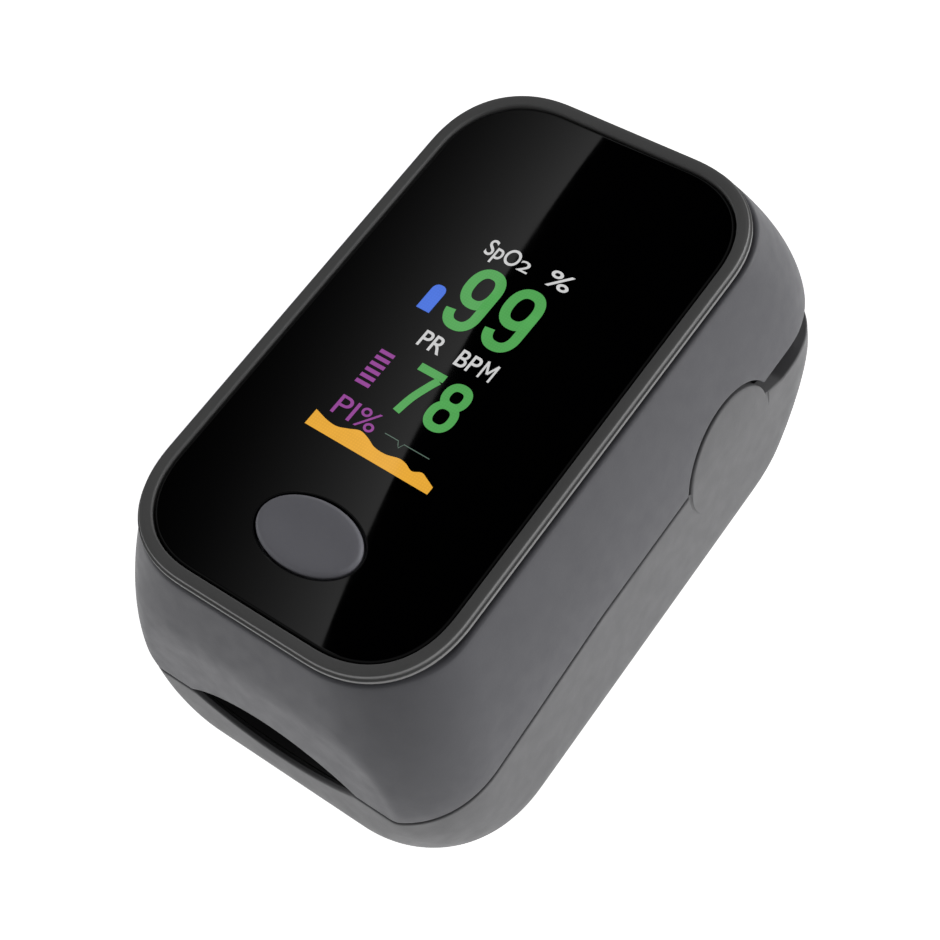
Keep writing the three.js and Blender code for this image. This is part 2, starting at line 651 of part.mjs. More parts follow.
function lowerInnerFrame() {
  const inside = bodyLoft([1.2, 2.6, 4.2, 7, 10.5, 15, 19], WALL + GAP)
    .intersect(facadeHalfSpace(WALL + GAP));
  const plate = box([-30, 30], [-21.5, 40], [TRAY_Z, TRAY_TOP]);
  const bayWidth = [-BAY_HALF_WIDTH - 0.9, BAY_HALF_WIDTH + 0.9];
  const bay = box(bayWidth, [BAY_FRONT_Y - 2, BAY_REAR_Y + 0.9], [1.75, TRAY_Z + 0.5]);
  const bayInside = box([-BAY_HALF_WIDTH, BAY_HALF_WIDTH], [BAY_FRONT_Y, BAY_REAR_Y], [0, TRAY_Z]);
  const noseOpen = box([-BAY_HALF_WIDTH, BAY_HALF_WIDTH], [-40, -21.5], [TRAY_Z - 1, TRAY_TOP + 1]);
  const noseFront = box([-30, 30], [-40, -26.9], [9.2, 20]);
  const lugs = mirrored((side) => {
    const span = spanX(side, LOWER_LUG.inner, LOWER_LUG.outer);
    const web = box(span, [HINGE_Y - 2.6, HINGE_Y + 2.6], [TRAY_Z, HINGE_Z]);
    return rodX(2.6, span[0], span[1], HINGE_Y, HINGE_Z).add(web);
  });
  let frame = wasm.Manifold.union([plate, bay]).subtract(bayInside).subtract(noseOpen).subtract(noseFront);
  const lightStop = box([-7.8, 7.8], [STOP_Y + 1.7, STOP_Y + 2.3], [TRAY_TOP - 0.5, SEAM_Z + 0.3]);
  frame = wasm.Manifold.union([frame.intersect(inside), lightStop, ...lugs]);
  mirrored((side) => spanX(side, 12, 14.2)).forEach((span) => {
    frame = frame.subtract(rodX(PIN_RADIUS + 0.15, span[0], span[1], HINGE_Y, HINGE_Z));
  });
  LOWER_SCREWS.forEach((p) => {
    frame = frame.subtract(rodZ(0.95, TRAY_Z - 1, TRAY_TOP + 1, p[0], p[1], 12));
  });
  const springRoom = [HINGE_Y - 3.8, HINGE_Y + 3.8];
  mirrored((side) => box(spanX(side, 14.05, 20), springRoom, [12, 14])).forEach((room) => {
    frame = frame.subtract(room);
  });
  const legRoom = [HINGE_Y - 2.4, HINGE_Y + 3.4];
  mirrored((side) => box(spanX(side, 8.2, 12.35), legRoom, [12, 14])).forEach((room) => {
    frame = frame.subtract(room);
  });
  return frame.subtract(box([-2.8, 2.8], [SENSOR_Y - 4.3, SENSOR_Y + 4.3], [TRAY_Z - 1, TRAY_TOP + 1]));
}

function lowerFingerPad() {
  const profile = [
    [-28.4, 9.6], [-27.3, 9.6], [-27.3, 12.35], [-21.8, 12.35], [-21.8, TRAY_TOP + 0.2],
    [STOP_Y - 0.4, TRAY_TOP + 0.2], [STOP_Y - 0.4, SEAM_Z], [SEAM_BEND_Y, SEAM_Z],
    [-28.4, seamZ(-28.4)],
  ];
  return sweepX(profile, -CHANNEL_HALF_WIDTH + GAP, CHANNEL_HALF_WIDTH - GAP)
    .intersect(facadeHalfSpace(WALL + GAP))
    .add(padNose().intersect(belowSeam(0)))
    .subtract(finger)
    .subtract(rodZ(2.3, 12, 16, 0, SENSOR_Y, 24));
}

add('lower_inner_frame', lowerInnerFrame(), materials.frame);
add('lower_finger_pad', lowerFingerPad(), materials.rubber);
const detectorBoard = box([-2.5, 2.5], [SENSOR_Y - 4, SENSOR_Y + 4], [TRAY_Z, TRAY_TOP - 0.2]);
const photodiode = box([-1.4, 1.4], [SENSOR_Y - 1.4, SENSOR_Y + 1.4], [TRAY_TOP - 0.15, 13.6]);
add('detector_board', detectorBoard, materials.board);
add('photodiode', photodiode, materials.chip);
add('detector_window', rodZ(2.05, 13.68, 14.1, 0, SENSOR_Y, 24), materials.clear);

// ---------------------------------------------------------------- hinge

// The coil sits on the pin; one leg lies on the lower tray, the other pushes up under the lid.
function torsionSpring(side) {
  const steps = SPRING_TURNS * 12;
  const start = Math.PI;
  const end = SPRING_TURNS * 2 * Math.PI;
  const inner = SPRING_SPAN.inner + SPRING_WIRE_RADIUS;
  const outer = SPRING_SPAN.outer - SPRING_WIRE_RADIUS;
  const points = [
    new THREE.Vector3(side * inner, HINGE_Y + 7.5, TRAY_TOP + 0.4),
    new THREE.Vector3(side * inner, HINGE_Y + 3.4, TRAY_TOP + 0.35),
  ];
  for (let i = 0; i <= steps; i += 1) {
    const t = i / steps;
    const angle = start + (end - start) * t;
    points.push(new THREE.Vector3(
      side * (inner + (outer - inner) * t),
      HINGE_Y + SPRING_COIL_RADIUS * Math.sin(angle),
      HINGE_Z + SPRING_COIL_RADIUS * Math.cos(angle),
    ));
  }
  points.push(new THREE.Vector3(side * outer, HINGE_Y + 2.4, HINGE_Z + 2.5));
  points.push(new THREE.Vector3(side * outer, HINGE_Y + 6.4, LID_Z - 0.6));
  return points;
}

function wire(points, radius, steps, sides) {
  const section = new THREE.Shape();
  for (let i = 0; i < sides; i += 1) {
    const angle = (i / sides) * 2 * Math.PI;
    const spot = [radius * Math.cos(angle), radius * Math.sin(angle)];
    if (i === 0) {
      section.moveTo(...spot);
    } else {
      section.lineTo(...spot);
    }
  }
  section.closePath();
  const path = new THREE.CatmullRomCurve3(points);
  return toSolid(new THREE.ExtrudeGeometry(section, { steps, bevelEnabled: false, extrudePath: path }));
}

[['right', 1], ['left', -1]].forEach(([name, side]) => {
  const span = spanX(side, 8.3, 16.9);
  add(`hinge_pin_${name}`, rodX(PIN_RADIUS, span[0], span[1], HINGE_Y, HINGE_Z, 16), materials.steel);
  add(`torsion_spring_${name}`, wire(torsionSpring(side), SPRING_WIRE_RADIUS, 96, 5), materials.steel);
});

// ---------------------------------------------------------------- cells and contacts

function cell(x, flip) {
  const body = rodY(CELL_RADIUS, 0, CELL_LENGTH - 0.9, 0, 0, 32);
  const nub = rodY(1.9, CELL_LENGTH - 1.4, CELL_LENGTH, 0, 0, 20);
  const turned = flip ? body.add(nub).rotate([0, 0, 180]).translate([0, CELL_LENGTH, 0]) : body.add(nub);
  return turned.translate([x, CELL_FRONT_Y, CELL_Z]);
}

function conicalSpring(x, yBase, direction) {
  const points = [];
  const turns = 3;
  const steps = turns * 14;
  for (let i = 0; i <= steps; i += 1) {
    const t = i / steps;
    const angle = t * turns * 2 * Math.PI;
    const radius = 3.4 - 1.6 * t;
    points.push(new THREE.Vector3(
      x + radius * Math.cos(angle), yBase + direction * 2.1 * t, CELL_Z + radius * Math.sin(angle),
    ));
  }
  return wire(points, 0.25, 48, 5);
}

const CELL_REAR_Y = CELL_FRONT_Y + CELL_LENGTH;
add('cell_right', cell(CELL_X, false), materials.cell);
add('cell_left', cell(-CELL_X, true), materials.cell);
// Leaf that bows out towards the raised end of the cell.
function contactLeaf(x) {
  const bow = [[-27.5, 3.2], [-27.2, 3.2], [-24.5, CELL_Z], [-27.2, 9.4], [-27.5, 9.4], [-24.85, CELL_Z]];
  return sweepX(bow, x - 2.2, x + 2.2);
}

add('front_contact_plate', box([2.2, 9], [-27.5, -27.2], [3.2, 9.6]), materials.brass);
add('front_contact_leaf', contactLeaf(-CELL_X), materials.brass);
const contactBridge = box([-9, 9], [CELL_REAR_Y + 0.1, CELL_REAR_Y + 0.4], [3.6, 10.4]);
add('rear_contact_bridge', contactBridge, materials.brass);
add('cell_spring', conicalSpring(CELL_X, -26.9, 1), materials.steel);

// ---------------------------------------------------------------- sensor ribbon across the hinge

function sensorRibbon() {
  const thick = 0.25;
  const route = [[12.2, TRAY_TOP + 0.2], [12.2, 15.5], [13.2, 18.5], [13.6, 21.5], [13, BOARD_Z - 0.35]];
  const outer = route.map((p) => [p[0] - thick / 2, p[1]]);
  const inner = route.map((p) => [p[0] + thick / 2, p[1]]).reverse();
  return sweepX([...inner, ...outer], -3, 3);
}

add('sensor_ribbon', sensorRibbon(), materials.flex);

// ---------------------------------------------------------------- screws

function screw(x, y, zHead, length, direction) {
  const head = direction < 0
    ? rodZ(1.5, zHead, zHead + 0.75, x, y, 16)
    : rodZ(1.5, zHead - 0.75, zHead, x, y, 16);
  const shank = direction < 0
    ? rodZ(0.68, zHead - length, zHead + 0.2, x, y, 10)
    : rodZ(0.68, zHead - 0.2, zHead + length, x, y, 10);
  return head.add(shank);
}

LOWER_SCREWS.forEach((p, i) => {
  add(`lower_screw_${i + 1}`, screw(p[0], p[1], TRAY_TOP + 0.05, 5, -1), materials.steel);
});
UPPER_SCREWS.forEach((p, i) => {
  add(`upper_screw_${i + 1}`, screw(p[0], p[1], LID_Z - 0.05, 4.6, 1), materials.steel);
});
BOARD_SCREWS.forEach((p, i) => {
  add(`board_screw_${i + 1}`, screw(p[0], p[1], BOARD_Z - 0.05, 2.6, 1), materials.steel);
});

export default oximeter;
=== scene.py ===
import math

import bmesh
import bpy
import numpy as np
from mathutils import Matrix, Vector


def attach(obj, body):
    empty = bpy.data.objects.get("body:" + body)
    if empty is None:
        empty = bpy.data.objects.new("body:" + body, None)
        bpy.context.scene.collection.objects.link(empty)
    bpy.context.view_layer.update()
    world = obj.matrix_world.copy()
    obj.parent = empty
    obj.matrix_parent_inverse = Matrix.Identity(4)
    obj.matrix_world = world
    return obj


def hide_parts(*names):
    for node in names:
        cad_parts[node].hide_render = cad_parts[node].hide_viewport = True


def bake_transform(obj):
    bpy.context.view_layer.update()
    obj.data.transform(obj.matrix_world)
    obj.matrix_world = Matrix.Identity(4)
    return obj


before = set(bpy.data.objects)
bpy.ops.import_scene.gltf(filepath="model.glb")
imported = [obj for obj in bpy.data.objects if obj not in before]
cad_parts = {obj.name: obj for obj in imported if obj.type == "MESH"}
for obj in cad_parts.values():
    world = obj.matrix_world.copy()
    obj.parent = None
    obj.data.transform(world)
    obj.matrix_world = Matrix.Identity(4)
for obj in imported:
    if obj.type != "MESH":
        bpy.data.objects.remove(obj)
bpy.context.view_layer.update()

# Looks of the fingertip pulse oximeter. The frame stands on z 0, its mouth faces -Y and its hinge
# runs along X. Lengths below are in millimetres unless a name says otherwise.

MM = 0.001

# ---------------------------------------------------------------- driving dimensions

HEIGHT = 31.3
HALF_WIDTH = 18.0
FRONT = 31.4
REAR = 31.1
WALL = 1.6
GAP = 0.3
HINGE_Y = 12.5
HINGE_Z = 14.6
EAR_RADIUS = 6.0
NOTCH_RADIUS = 6.45
ROOF_TOP = 29.1
ROOF_BOTTOM = 27.9
SIDE_RISE = 0.65
FRONT_RISE = 1.1
WINDOW_Y = 0.22
LENS_HALF = (14.24, 25.96)
LENS_TOP = 31.0
LENS_BOTTOM = 29.8
BUTTON_Y = -18.4
BUTTON_HALF = (5.0, 3.15)
MOUTH_HALF = 9.2
MOUTH_REAR = -20.0
MOUTH_Z = 13.9
MOUTH_UP = 3.4
MOUTH_DOWN = 2.4
LIP_WALL = 0.45
LIP_DEPTH = 0.95
SENSOR_Y = -8.0
STOP_Y = 9.2
FILLET = 0.2


# ---------------------------------------------------------------- mesh making

def new_object(name, data):
    obj = bpy.data.objects.new(name, data)
    bpy.context.scene.collection.objects.link(obj)
    return obj


def new_mesh(name, points, faces):
    mesh = bpy.data.meshes.new(name)
    mesh.from_pydata((np.asarray(points, float) * MM).tolist(), [], faces)
    return mesh


def finish_mesh(mesh, sharp_angle=38):
    """Faces point out, and edges steeper than the angle stay sharp."""
    work = bmesh.new()
    work.from_mesh(mesh)
    bmesh.ops.recalc_face_normals(work, faces=work.faces)
    work.to_mesh(mesh)
    work.free()
    mesh.shade_smooth()
    mesh.set_sharp_from_angle(angle=math.radians(sharp_angle))


def mesh_object(name, points, faces, sharp_angle=38):
    mesh = new_mesh(name, points, faces)
    finish_mesh(mesh, sharp_angle)
    return new_object(name, mesh)


def ring_object(name, rings, closed=True, sharp_angle=38):
    """Skin over rings of equally many points. A closed one joins its last ring to its first;
    an open one is capped by a fan at either end."""
    rings = np.asarray(rings, float)
    levels, count = rings.shape[:2]
    points = rings.reshape(-1, 3)
    faces = []
    spans = levels if closed else levels - 1
    for level in range(spans):
        below = level * count
        above = ((level + 1) % levels) * count
        for i in range(count):
            j = (i + 1) % count
            faces.append((below + i, below + j, above + j, above + i))
    if not closed:
        hubs = [rings[0].mean(0), rings[-1].mean(0)]
        points = np.vstack([points, hubs])
        last = (levels - 1) * count
        for i in range(count):
            j = (i + 1) % count
            faces.append((levels * count, j, i))
            faces.append((levels * count + 1, last + i, last + j))
    return mesh_object(name, points, faces, sharp_angle)


def slab(name, xs, ys, low, high):
    """Closed plate between two height fields over a grid."""
    grid_x, grid_y = np.meshgrid(xs, ys)
    top = np.stack([grid_x, grid_y, high(grid_x, grid_y)], -1).reshape(-1, 3)
    bottom = np.stack([grid_x, grid_y, low(grid_x, grid_y)], -1).reshape(-1, 3)
    rows, columns = grid_x.shape
    under = rows * columns
    faces = []
    for r in range(rows - 1):
        for c in range(columns - 1):
            a = r * columns + c
            quad = (a, a + 1, a + columns + 1, a + columns)
            faces.append(quad)
            faces.append(tuple(under + i for i in reversed(quad)))
    rim = list(range(columns))
    rim += [r * columns + columns - 1 for r in range(1, rows)]
    rim += [(rows - 1) * columns + c for c in range(columns - 2, -1, -1)]
    rim += [r * columns for r in range(rows - 2, 0, -1)]
    for i, a in enumerate(rim):
        b = rim[(i + 1) % len(rim)]
        faces.append((a, under + a, under + b, b))
    return mesh_object(name, np.vstack([top, bottom]), faces)


def sweep(name, path, section, scale=None, across=None):
    """Section of (side, up) offsets carried along a path. across fixes the side direction."""
    path = np.asarray(path, float)
    scale = np.ones(len(path)) if scale is None else scale
    tangents = np.gradient(path, axis=0)
    tangents /= np.linalg.norm(tangents, axis=1)[:, None]
    side = np.array(across if across is not None else np.cross(tangents[0], (0.31, 0.17, 0.93)), float)
    rings = []
    for point, tangent, size in zip(path, tangents, scale):
        side = side - tangent * (side @ tangent)
        side /= np.linalg.norm(side)
        up = np.cross(tangent, side)
        rings.append([point + size * (u * side + v * up) for u, v in section])
    return ring_object(name, rings, closed=False)


def round_section(radius, sides=12):
    turns = [2 * math.pi * i / sides for i in range(sides)]
    return [(radius * math.cos(a), radius * math.sin(a)) for a in turns]


def smooth_path(points, steps=8):
    """Catmull-Rom curve through the points."""
    p = np.asarray(points, float)
    p = np.vstack([2 * p[0] - p[1], p, 2 * p[-1] - p[-2]])
    curve = []
    for i in range(1, len(p) - 2):
        for t in np.arange(0, 1, 1 / steps):
            curve.append(0.5 * (
                2 * p[i] + (p[i + 1] - p[i - 1]) * t
                + (2 * p[i - 1] - 5 * p[i] + 4 * p[i + 1] - p[i + 2]) * t ** 2
                + (3 * p[i] - p[i - 1] - 3 * p[i + 1] + p[i + 2]) * t ** 3
            ))
    curve.append(p[-2])
    return np.array(curve)


def block(x, y, z, bevel=0.0):
    mesh = bpy.data.meshes.new("tool")
    work = bmesh.new()
    bmesh.ops.create_cube(work, size=1.0)
    size = Vector((x[1] - x[0], y[1] - y[0], z[1] - z[0])) * MM
    centre = Vector((x[0] + x[1], y[0] + y[1], z[0] + z[1])) * (MM / 2)
    placing = Matrix.Translation(centre) @ Matrix.Diagonal((*size, 1))
    bmesh.ops.transform(work, verts=work.verts, matrix=placing)
    if bevel:
        bmesh.ops.bevel(work, geom=work.edges, offset=bevel * MM, segments=4, profile=0.5, affect="EDGES")
    work.to_mesh(mesh)
    work.free()
    return new_object("tool", mesh)


def rod(start, end, radius, sides=32):
    return sweep("tool", [start, end], round_section(radius, sides))


def roll_over(depth, radius):
    """How far a surface falls away at this depth inside an edge of this radius."""
    reach = np.clip(radius - depth, 0, radius)
    return radius - np.sqrt(radius ** 2 - reach ** 2)


def combine(obj, tools, operation, sharp_angle=38):
    """Joins, cuts or keeps the common part with each tool in turn, and removes the tools."""
    for tool in tools:
        modifier = obj.modifiers.new("combine", "BOOLEAN")
        modifier.solver = "MANIFOLD"
        modifier.operation = operation
        modifier.object = tool
        graph = bpy.context.evaluated_depsgraph_get()
        mesh = bpy.data.meshes.new_from_object(obj.evaluated_get(graph))
        obj.modifiers.clear()
        obj.data = mesh
        bpy.data.objects.remove(tool)
    obj.data.shade_smooth()
    obj.data.set_sharp_from_angle(angle=math.radians(sharp_angle))
    return obj


# ---------------------------------------------------------------- body surface

CORNER_FRONT = 9.2
CORNER_REAR = 8.8
CORNER_POWER = 2.2
CORNER_GROWTH = 3.8
TAPER_Z = 15.0
TAIL_TAPER_Z = 18.0
BASE_EDGE_RADIUS = 4.5
CHIN_Z = 12.0
CHIN_DEPTH = 5.0
HEEL_DEPTH = 11.3
# The flat front face leans back: its distance from the middle at one height, and its slope.
FACADE_Y = 29.5
FACADE_Z = 23.9
FACADE_SLOPE = 0.1


def under(z, height, power):
    """Quarter superellipse: 0 at the base, 1 at the given height."""
    drop = np.clip(1 - z / height, 0, 1)
    return (1 - drop ** power) ** (1 / power)


def body_sizes(z, inset):
    """Half width, front and rear of the body at height z, with its corner radii."""
    rise = np.maximum(0, (z - TAPER_Z) / (HEIGHT - TAPER_Z))
    tail_rise = np.maximum(0, (z - TAIL_TAPER_Z) / (HEIGHT - TAIL_TAPER_Z))
    base_edge = BASE_EDGE_RADIUS * (1 - under(z, BASE_EDGE_RADIUS, 2))
    chin = 1 - under(z, CHIN_Z, 2)
    heel = 1 - under(z, CHIN_Z, 1.6)
    half = HALF_WIDTH - 2.7 * rise ** 1.8 - base_edge - inset
    front = FRONT - 4.6 * rise ** 1.45 - CHIN_DEPTH * chin - inset
    rear = REAR - 3.8 * tail_rise ** 1.6 - HEEL_DEPTH * heel - inset
    grown = CORNER_GROWTH * chin ** 0.75 - inset
    return half, front, rear, CORNER_FRONT + grown, CORNER_REAR + grown


def corner(angles, sx, sy, front):
    """Rows of factors that multiply (half, front, rear, front corner, rear corner) for x and for y."""
    rows = []
    for a in angles:
        c = max(0.0, math.cos(a)) ** (2 / CORNER_POWER) - 1
        s = max(0.0, math.sin(a)) ** (2 / CORNER_POWER) - 1
        x = [sx, 0, 0, 0, 0]
        y = [0, 0, 0, 0, 0]
        y[1 if front else 2] = sy
        x[3 if front else 4] = sx * c
        y[3 if front else 4] = sy * s
        rows.append((x, y))
    return rows


def side(fractions, sx):
    return [([sx, 0, 0, 0, 0], [0, -(1 - t), t, 1 - t, -t]) for t in fractions]


def end(fractions, front):
    """Fractions run from -1 to 1 across the straight part of an end."""
    slot = 3 if front else 4
    rows = []
    for u in fractions:
        x = [u, 0, 0, 0, 0]
        x[slot] = -u
        y = [0, -1, 0, 0, 0] if front else [0, 0, 1, 0, 0]
        rows.append((x, y))
    return rows


def body_stations():
    """Columns of the body's skin, counter-clockwise from above, closest together at the ears and mouth."""
    flank_front = -(31.32 - CORNER_FRONT)
    flank_rear = REAR - CORNER_REAR
    arc = HINGE_Y - NOTCH_RADIUS * np.cos(np.radians(np.arange(7, 173.5, 1.5)))
    ys = np.concatenate([
        np.linspace(flank_front, arc[0] - 0.15, 36), arc, np.linspace(arc[-1] + 0.1, flank_rear, 12),
    ])
    flank = (ys - flank_front) / (flank_rear - flank_front)
    inner = np.radians(np.linspace(0, 90, 62)[1:-1])
    rear_inner = np.radians(np.linspace(0, 90, 30)[1:-1])
    rows = side(flank, 1)
    rows += corner(rear_inner, 1, 1, False)
    rows += end(np.linspace(1, -1, 25), False)
    rows += corner(rear_inner[::-1], -1, 1, False)
    rows += side(flank[::-1], -1)
    rows += corner(inner, -1, -1, True)
    rows += end(np.linspace(-1, 1, 73), True)
    rows += corner(inner[::-1], 1, -1, True)
    return np.array([r[0] for r in rows], float), np.array([r[1] for r in rows], float)


STATION_X, STATION_Y = body_stations()
CREASE_SOFTNESS = 0.25


def body(z, inset=0.0):
    """Points of the body's skin at height z for every station."""
    z = np.broadcast_to(np.asarray(z, float), (len(STATION_X),))
    sizes = np.stack(np.broadcast_arrays(*body_sizes(z, inset)), 1)
    x = (STATION_X * sizes).sum(1)
    y = (STATION_Y * sizes).sum(1)
    facade = -(FACADE_Y - inset + FACADE_SLOPE * (FACADE_Z - z))
    blend = np.maximum(CREASE_SOFTNESS - np.abs(y - facade), 0) ** 2 / (4 * CREASE_SOFTNESS)
    y = np.maximum(y, facade) + blend
    return np.stack([x, y, z], 1)


def seam(y):
    return np.interp(y, [-40, -7, 40], [15.6 - 2.0 * 33 / 24, 15.6, 15.6])


def in_mouth(x, y):
    return (np.abs(x) < MOUTH_HALF) & (y < MOUTH_REAR)


def mouth_arch(x, height):
    return height * np.maximum(0, 1 - (x / MOUTH_HALF) ** 2) ** 0.9


def hinge_arc(y, radius):
    """Top of a circle about the hinge axis."""
    return HINGE_Z + np.sqrt(np.maximum(0, radius ** 2 - (y - HINGE_Y) ** 2))


def upper_rest(y):
    """Lower edge of the upper shell, without the notches and the mouth."""
    return np.where(y < HINGE_Y, seam(y) + GAP, np.interp(y, [24.5, 40], [17.2, 18.3]))


def upper_edge(x, y):
    edge = upper_rest(y)
    notched = np.maximum(edge, hinge_arc(y, NOTCH_RADIUS))
    edge = np.where(np.abs(y - HINGE_Y) < NOTCH_RADIUS, notched, edge)
    return np.where(in_mouth(x, y), np.maximum(edge, MOUTH_Z + mouth_arch(x, MOUTH_UP)), edge)


def lower_rest(y):
    """Upper edge of the lower shell, without the ears and the mouth."""
    return np.where(y < 18.2, seam(y), np.interp(y, [18.2, 21, 24.5, 40], [15.6, 14.4, 14.3, 11.9]))


def lower_edge(x, y):
    edge = lower_rest(y)
    eared = np.maximum(edge, hinge_arc(y, EAR_RADIUS))
    edge = np.where(np.abs(y - HINGE_Y) < EAR_RADIUS, eared, edge)
    return np.where(in_mouth(x, y), np.minimum(edge, MOUTH_Z - mouth_arch(x, MOUTH_DOWN)), edge)


def solve_edge(edge, inset):
    """Height at which each station meets an edge."""
    z = np.full(len(STATION_X), 15.0)
    for _ in range(8):
        points = body(z, inset)
        z = edge(points[:, 0], points[:, 1])
    return z


def ear_distance(points):
    return np.hypot(points[:, 1] - HINGE_Y, points[:, 2] - HINGE_Z)


def opening(z, half_x, y0, y1, radius):
    """Rounded rectangle with one point for each station, met by rays from its centre."""
    centre = np.array([0, (y0 + y1) / 2])
    ring = body(z)[:, :2] - centre
    half = np.array([half_x, (y1 - y0) / 2])
    unit = ring / np.linalg.norm(ring, axis=1)[:, None]
    reach = np.min(half / np.maximum(np.abs(unit), 1e-9), axis=1)
    for _ in range(30):
        p = np.abs(unit * reach[:, None]) - (half - radius)
        outside = np.linalg.norm(np.maximum(p, 0), axis=1) - radius
        reach -= np.where(np.min(p, axis=1) > 0, outside, 0) * 0.9
    flat = centre + unit * reach[:, None]
    return np.column_stack([flat, np.full(len(flat), z)])


NEAR_EDGE = np.array([0, 0.02, 0.06, 0.12, 0.2, 0.3, 0.45])
# Short of 1, so that the rings of the pocket never meet.
LIP_FADE = 0.95
# Half width, front, rear and corner radius of the roof's opening under the window.
ROOF_OPENING = (9.0, -23.2, 16.2, 1.5)
ROOF_ROUND = 0.32
# Heights at which the rounded base is drawn, and scales of the rings that close its floor.
BASE_HEIGHTS = 6.0 * (1 - np.cos(np.radians(np.linspace(0, 90, 26)))) ** 1.3
OUTER_FLOOR = (0.25, 0.55, 0.85, 0.98)
INNER_FLOOR = (0.98, 0.8, 0.4)


def floor_rings(z, inset, scales):
    return [body(z, inset) * [s, s, 1] for s in scales]


def lip():
    """Wall thickness at the edge and depth of the pocket behind it: thin and deep round the mouth."""
    points = body(14)
    fade = np.clip(np.abs(points[:, 0]) - MOUTH_HALF, 0, LIP_FADE)
    fade = np.where(points[:, 1] < MOUTH_REAR, fade, LIP_FADE)
    return LIP_WALL + (WALL - LIP_WALL) * fade, LIP_DEPTH * (1 - fade)


def window_at(grow, z):
    """Outline of the grown window, with one point for each station."""
    outline = window_ring(grow, 0)[:, :2] - [0, WINDOW_Y]
    angles = np.arctan2(outline[:, 1], outline[:, 0])
    order = np.argsort(angles)
    rays = body(ROOF_TOP)[:, :2] - [0, WINDOW_Y]
    reach = np.interp(np.arctan2(rays[:, 1], rays[:, 0]), angles[order],
                      np.hypot(outline[:, 0], outline[:, 1])[order], period=2 * math.pi)
    flat = rays / np.linalg.norm(rays, axis=1)[:, None] * reach[:, None] + [0, WINDOW_Y]
    return np.column_stack([flat, np.broadcast_to(z, len(flat))])


def upper_shell():
    bottom = solve_edge(upper_edge, 0)
    wall, pocket = lip()
    inner_bottom = solve_edge(upper_edge, wall)
    rise = np.clip((-body(ROOF_TOP)[:, 1] - 20.5) / 5, 0, 1)
    top = ROOF_TOP + SIDE_RISE + (FRONT_RISE - SIDE_RISE) * rise ** 2 * (3 - 2 * rise)
    shoulder = top - ROOF_ROUND
    rings = []
    lifts = [bottom + step for step in NEAR_EDGE]
    start = bottom + NEAR_EDGE[-1]
    lifts += [start + (shoulder - start) * t for t in np.linspace(0, 1, 46)[1:]]
    for z in lifts:
        points = body(z)
        depth = np.minimum(z - upper_rest(points[:, 1]), ear_distance(points) - NOTCH_RADIUS)
        x, y = points[:, 0], points[:, 1]
        depth = np.where(in_mouth(x, y), z - upper_edge(x, y), depth)
        rings.append(body(z, roll_over(depth, FILLET)))
    for angle in np.radians([20, 40, 60, 75, 90]):
        inset = ROOF_ROUND * (1 - math.cos(angle))
        rings.append(body(shoulder + ROOF_ROUND * math.sin(angle), inset))
    rings += [window_at(grow, ROOF_TOP + (top - ROOF_TOP) * part) for grow, part in
              ((1.02, 1), (0.95, 0.94), (0.92, 0.85), (0.9, 0.04), (0.85, 0))]
    rings += [opening(z, *ROOF_OPENING) for z in (ROOF_TOP, ROOF_BOTTOM)]
    ceiling = inner_bottom + pocket
    for t in np.linspace(0, 1, 14):
        rings.append(body(ROOF_BOTTOM + (ceiling - ROOF_BOTTOM) * t, WALL))
    rings += [body(ceiling, wall), body(inner_bottom, wall)]
    return ring_object("upper_casing", rings)


def lower_shell():
    top = solve_edge(lower_edge, 0)
    wall, pocket = lip()
    inner_top = solve_edge(lower_edge, wall)
    rings = floor_rings(0, 0, OUTER_FLOOR)
    drops = [np.full(len(top), z) for z in BASE_HEIGHTS]
    start = BASE_HEIGHTS[-1]
    finish = top - NEAR_EDGE[-1]
    drops += [start + (finish - start) * t for t in np.linspace(0, 1, 24)[1:]]
    drops += [top - step for step in NEAR_EDGE[-2::-1]]
    for z in drops:
        points = body(z)
        depth = np.maximum(lower_rest(points[:, 1]) - z, EAR_RADIUS - ear_distance(points))
        x, y = points[:, 0], points[:, 1]
        depth = np.where(in_mouth(x, y), lower_edge(x, y) - z, depth)
        rings.append(body(z, roll_over(depth, FILLET)))
    shelf = inner_top - pocket
    rings += [body(inner_top, wall), body(shelf, wall)]
    rings += [body(shelf + (7 - shelf) * t, WALL) for t in np.linspace(0, 1, 12)]
    rings += [body(z, WALL) for z in (5.5, 4.2, 3.2, 2.4, 1.9, WALL)]
    rings += floor_rings(WALL, WALL, INNER_FLOOR)
    return ring_object("lower_casing", rings, closed=False)


# ---------------------------------------------------------------- casings and door

LOWER_SCREWS = [(14, -19), (-14, -19), (14, 23), (-14, 23)]
UPPER_SCREWS = [(13.2, -19), (-13.2, -19), (12.6, 22.5), (-12.6, 22.5)]
DOOR_HALF = 11.6
DOOR_FRONT = -21.0
DOOR_LIP = 5.0
DOOR_THICKNESS = 1.25
DOOR_CLEARANCE = 0.15
GRIP_RADIUS = 0.55
GRIP_PITCH = 1.7
GROOVE_RADIUS = 6.2
GROOVE_X = 18.08
UPPER_POST_RADIUS = 1.7
LOWER_POST_RADIUS = 1.6
SCREW_HOLE_RADIUS = 0.85
PIN_HOLE_RADIUS = 1.15
PIN_REACH = 17.1


def groove(start_angle, end_angle, radius, start_width, end_width, side_x):
    """Tapered round cutter along an arc about the hinge axis, in the flank's plane."""
    angles = np.radians(np.linspace(start_angle, end_angle, 40))
    path = np.column_stack([
        np.full(len(angles), side_x), HINGE_Y + radius * np.cos(angles), HINGE_Z + radius * np.sin(angles),
    ])
    scale = np.linspace(start_width, end_width, len(angles))
    return sweep("tool", path, round_section(1.0, 10), scale)


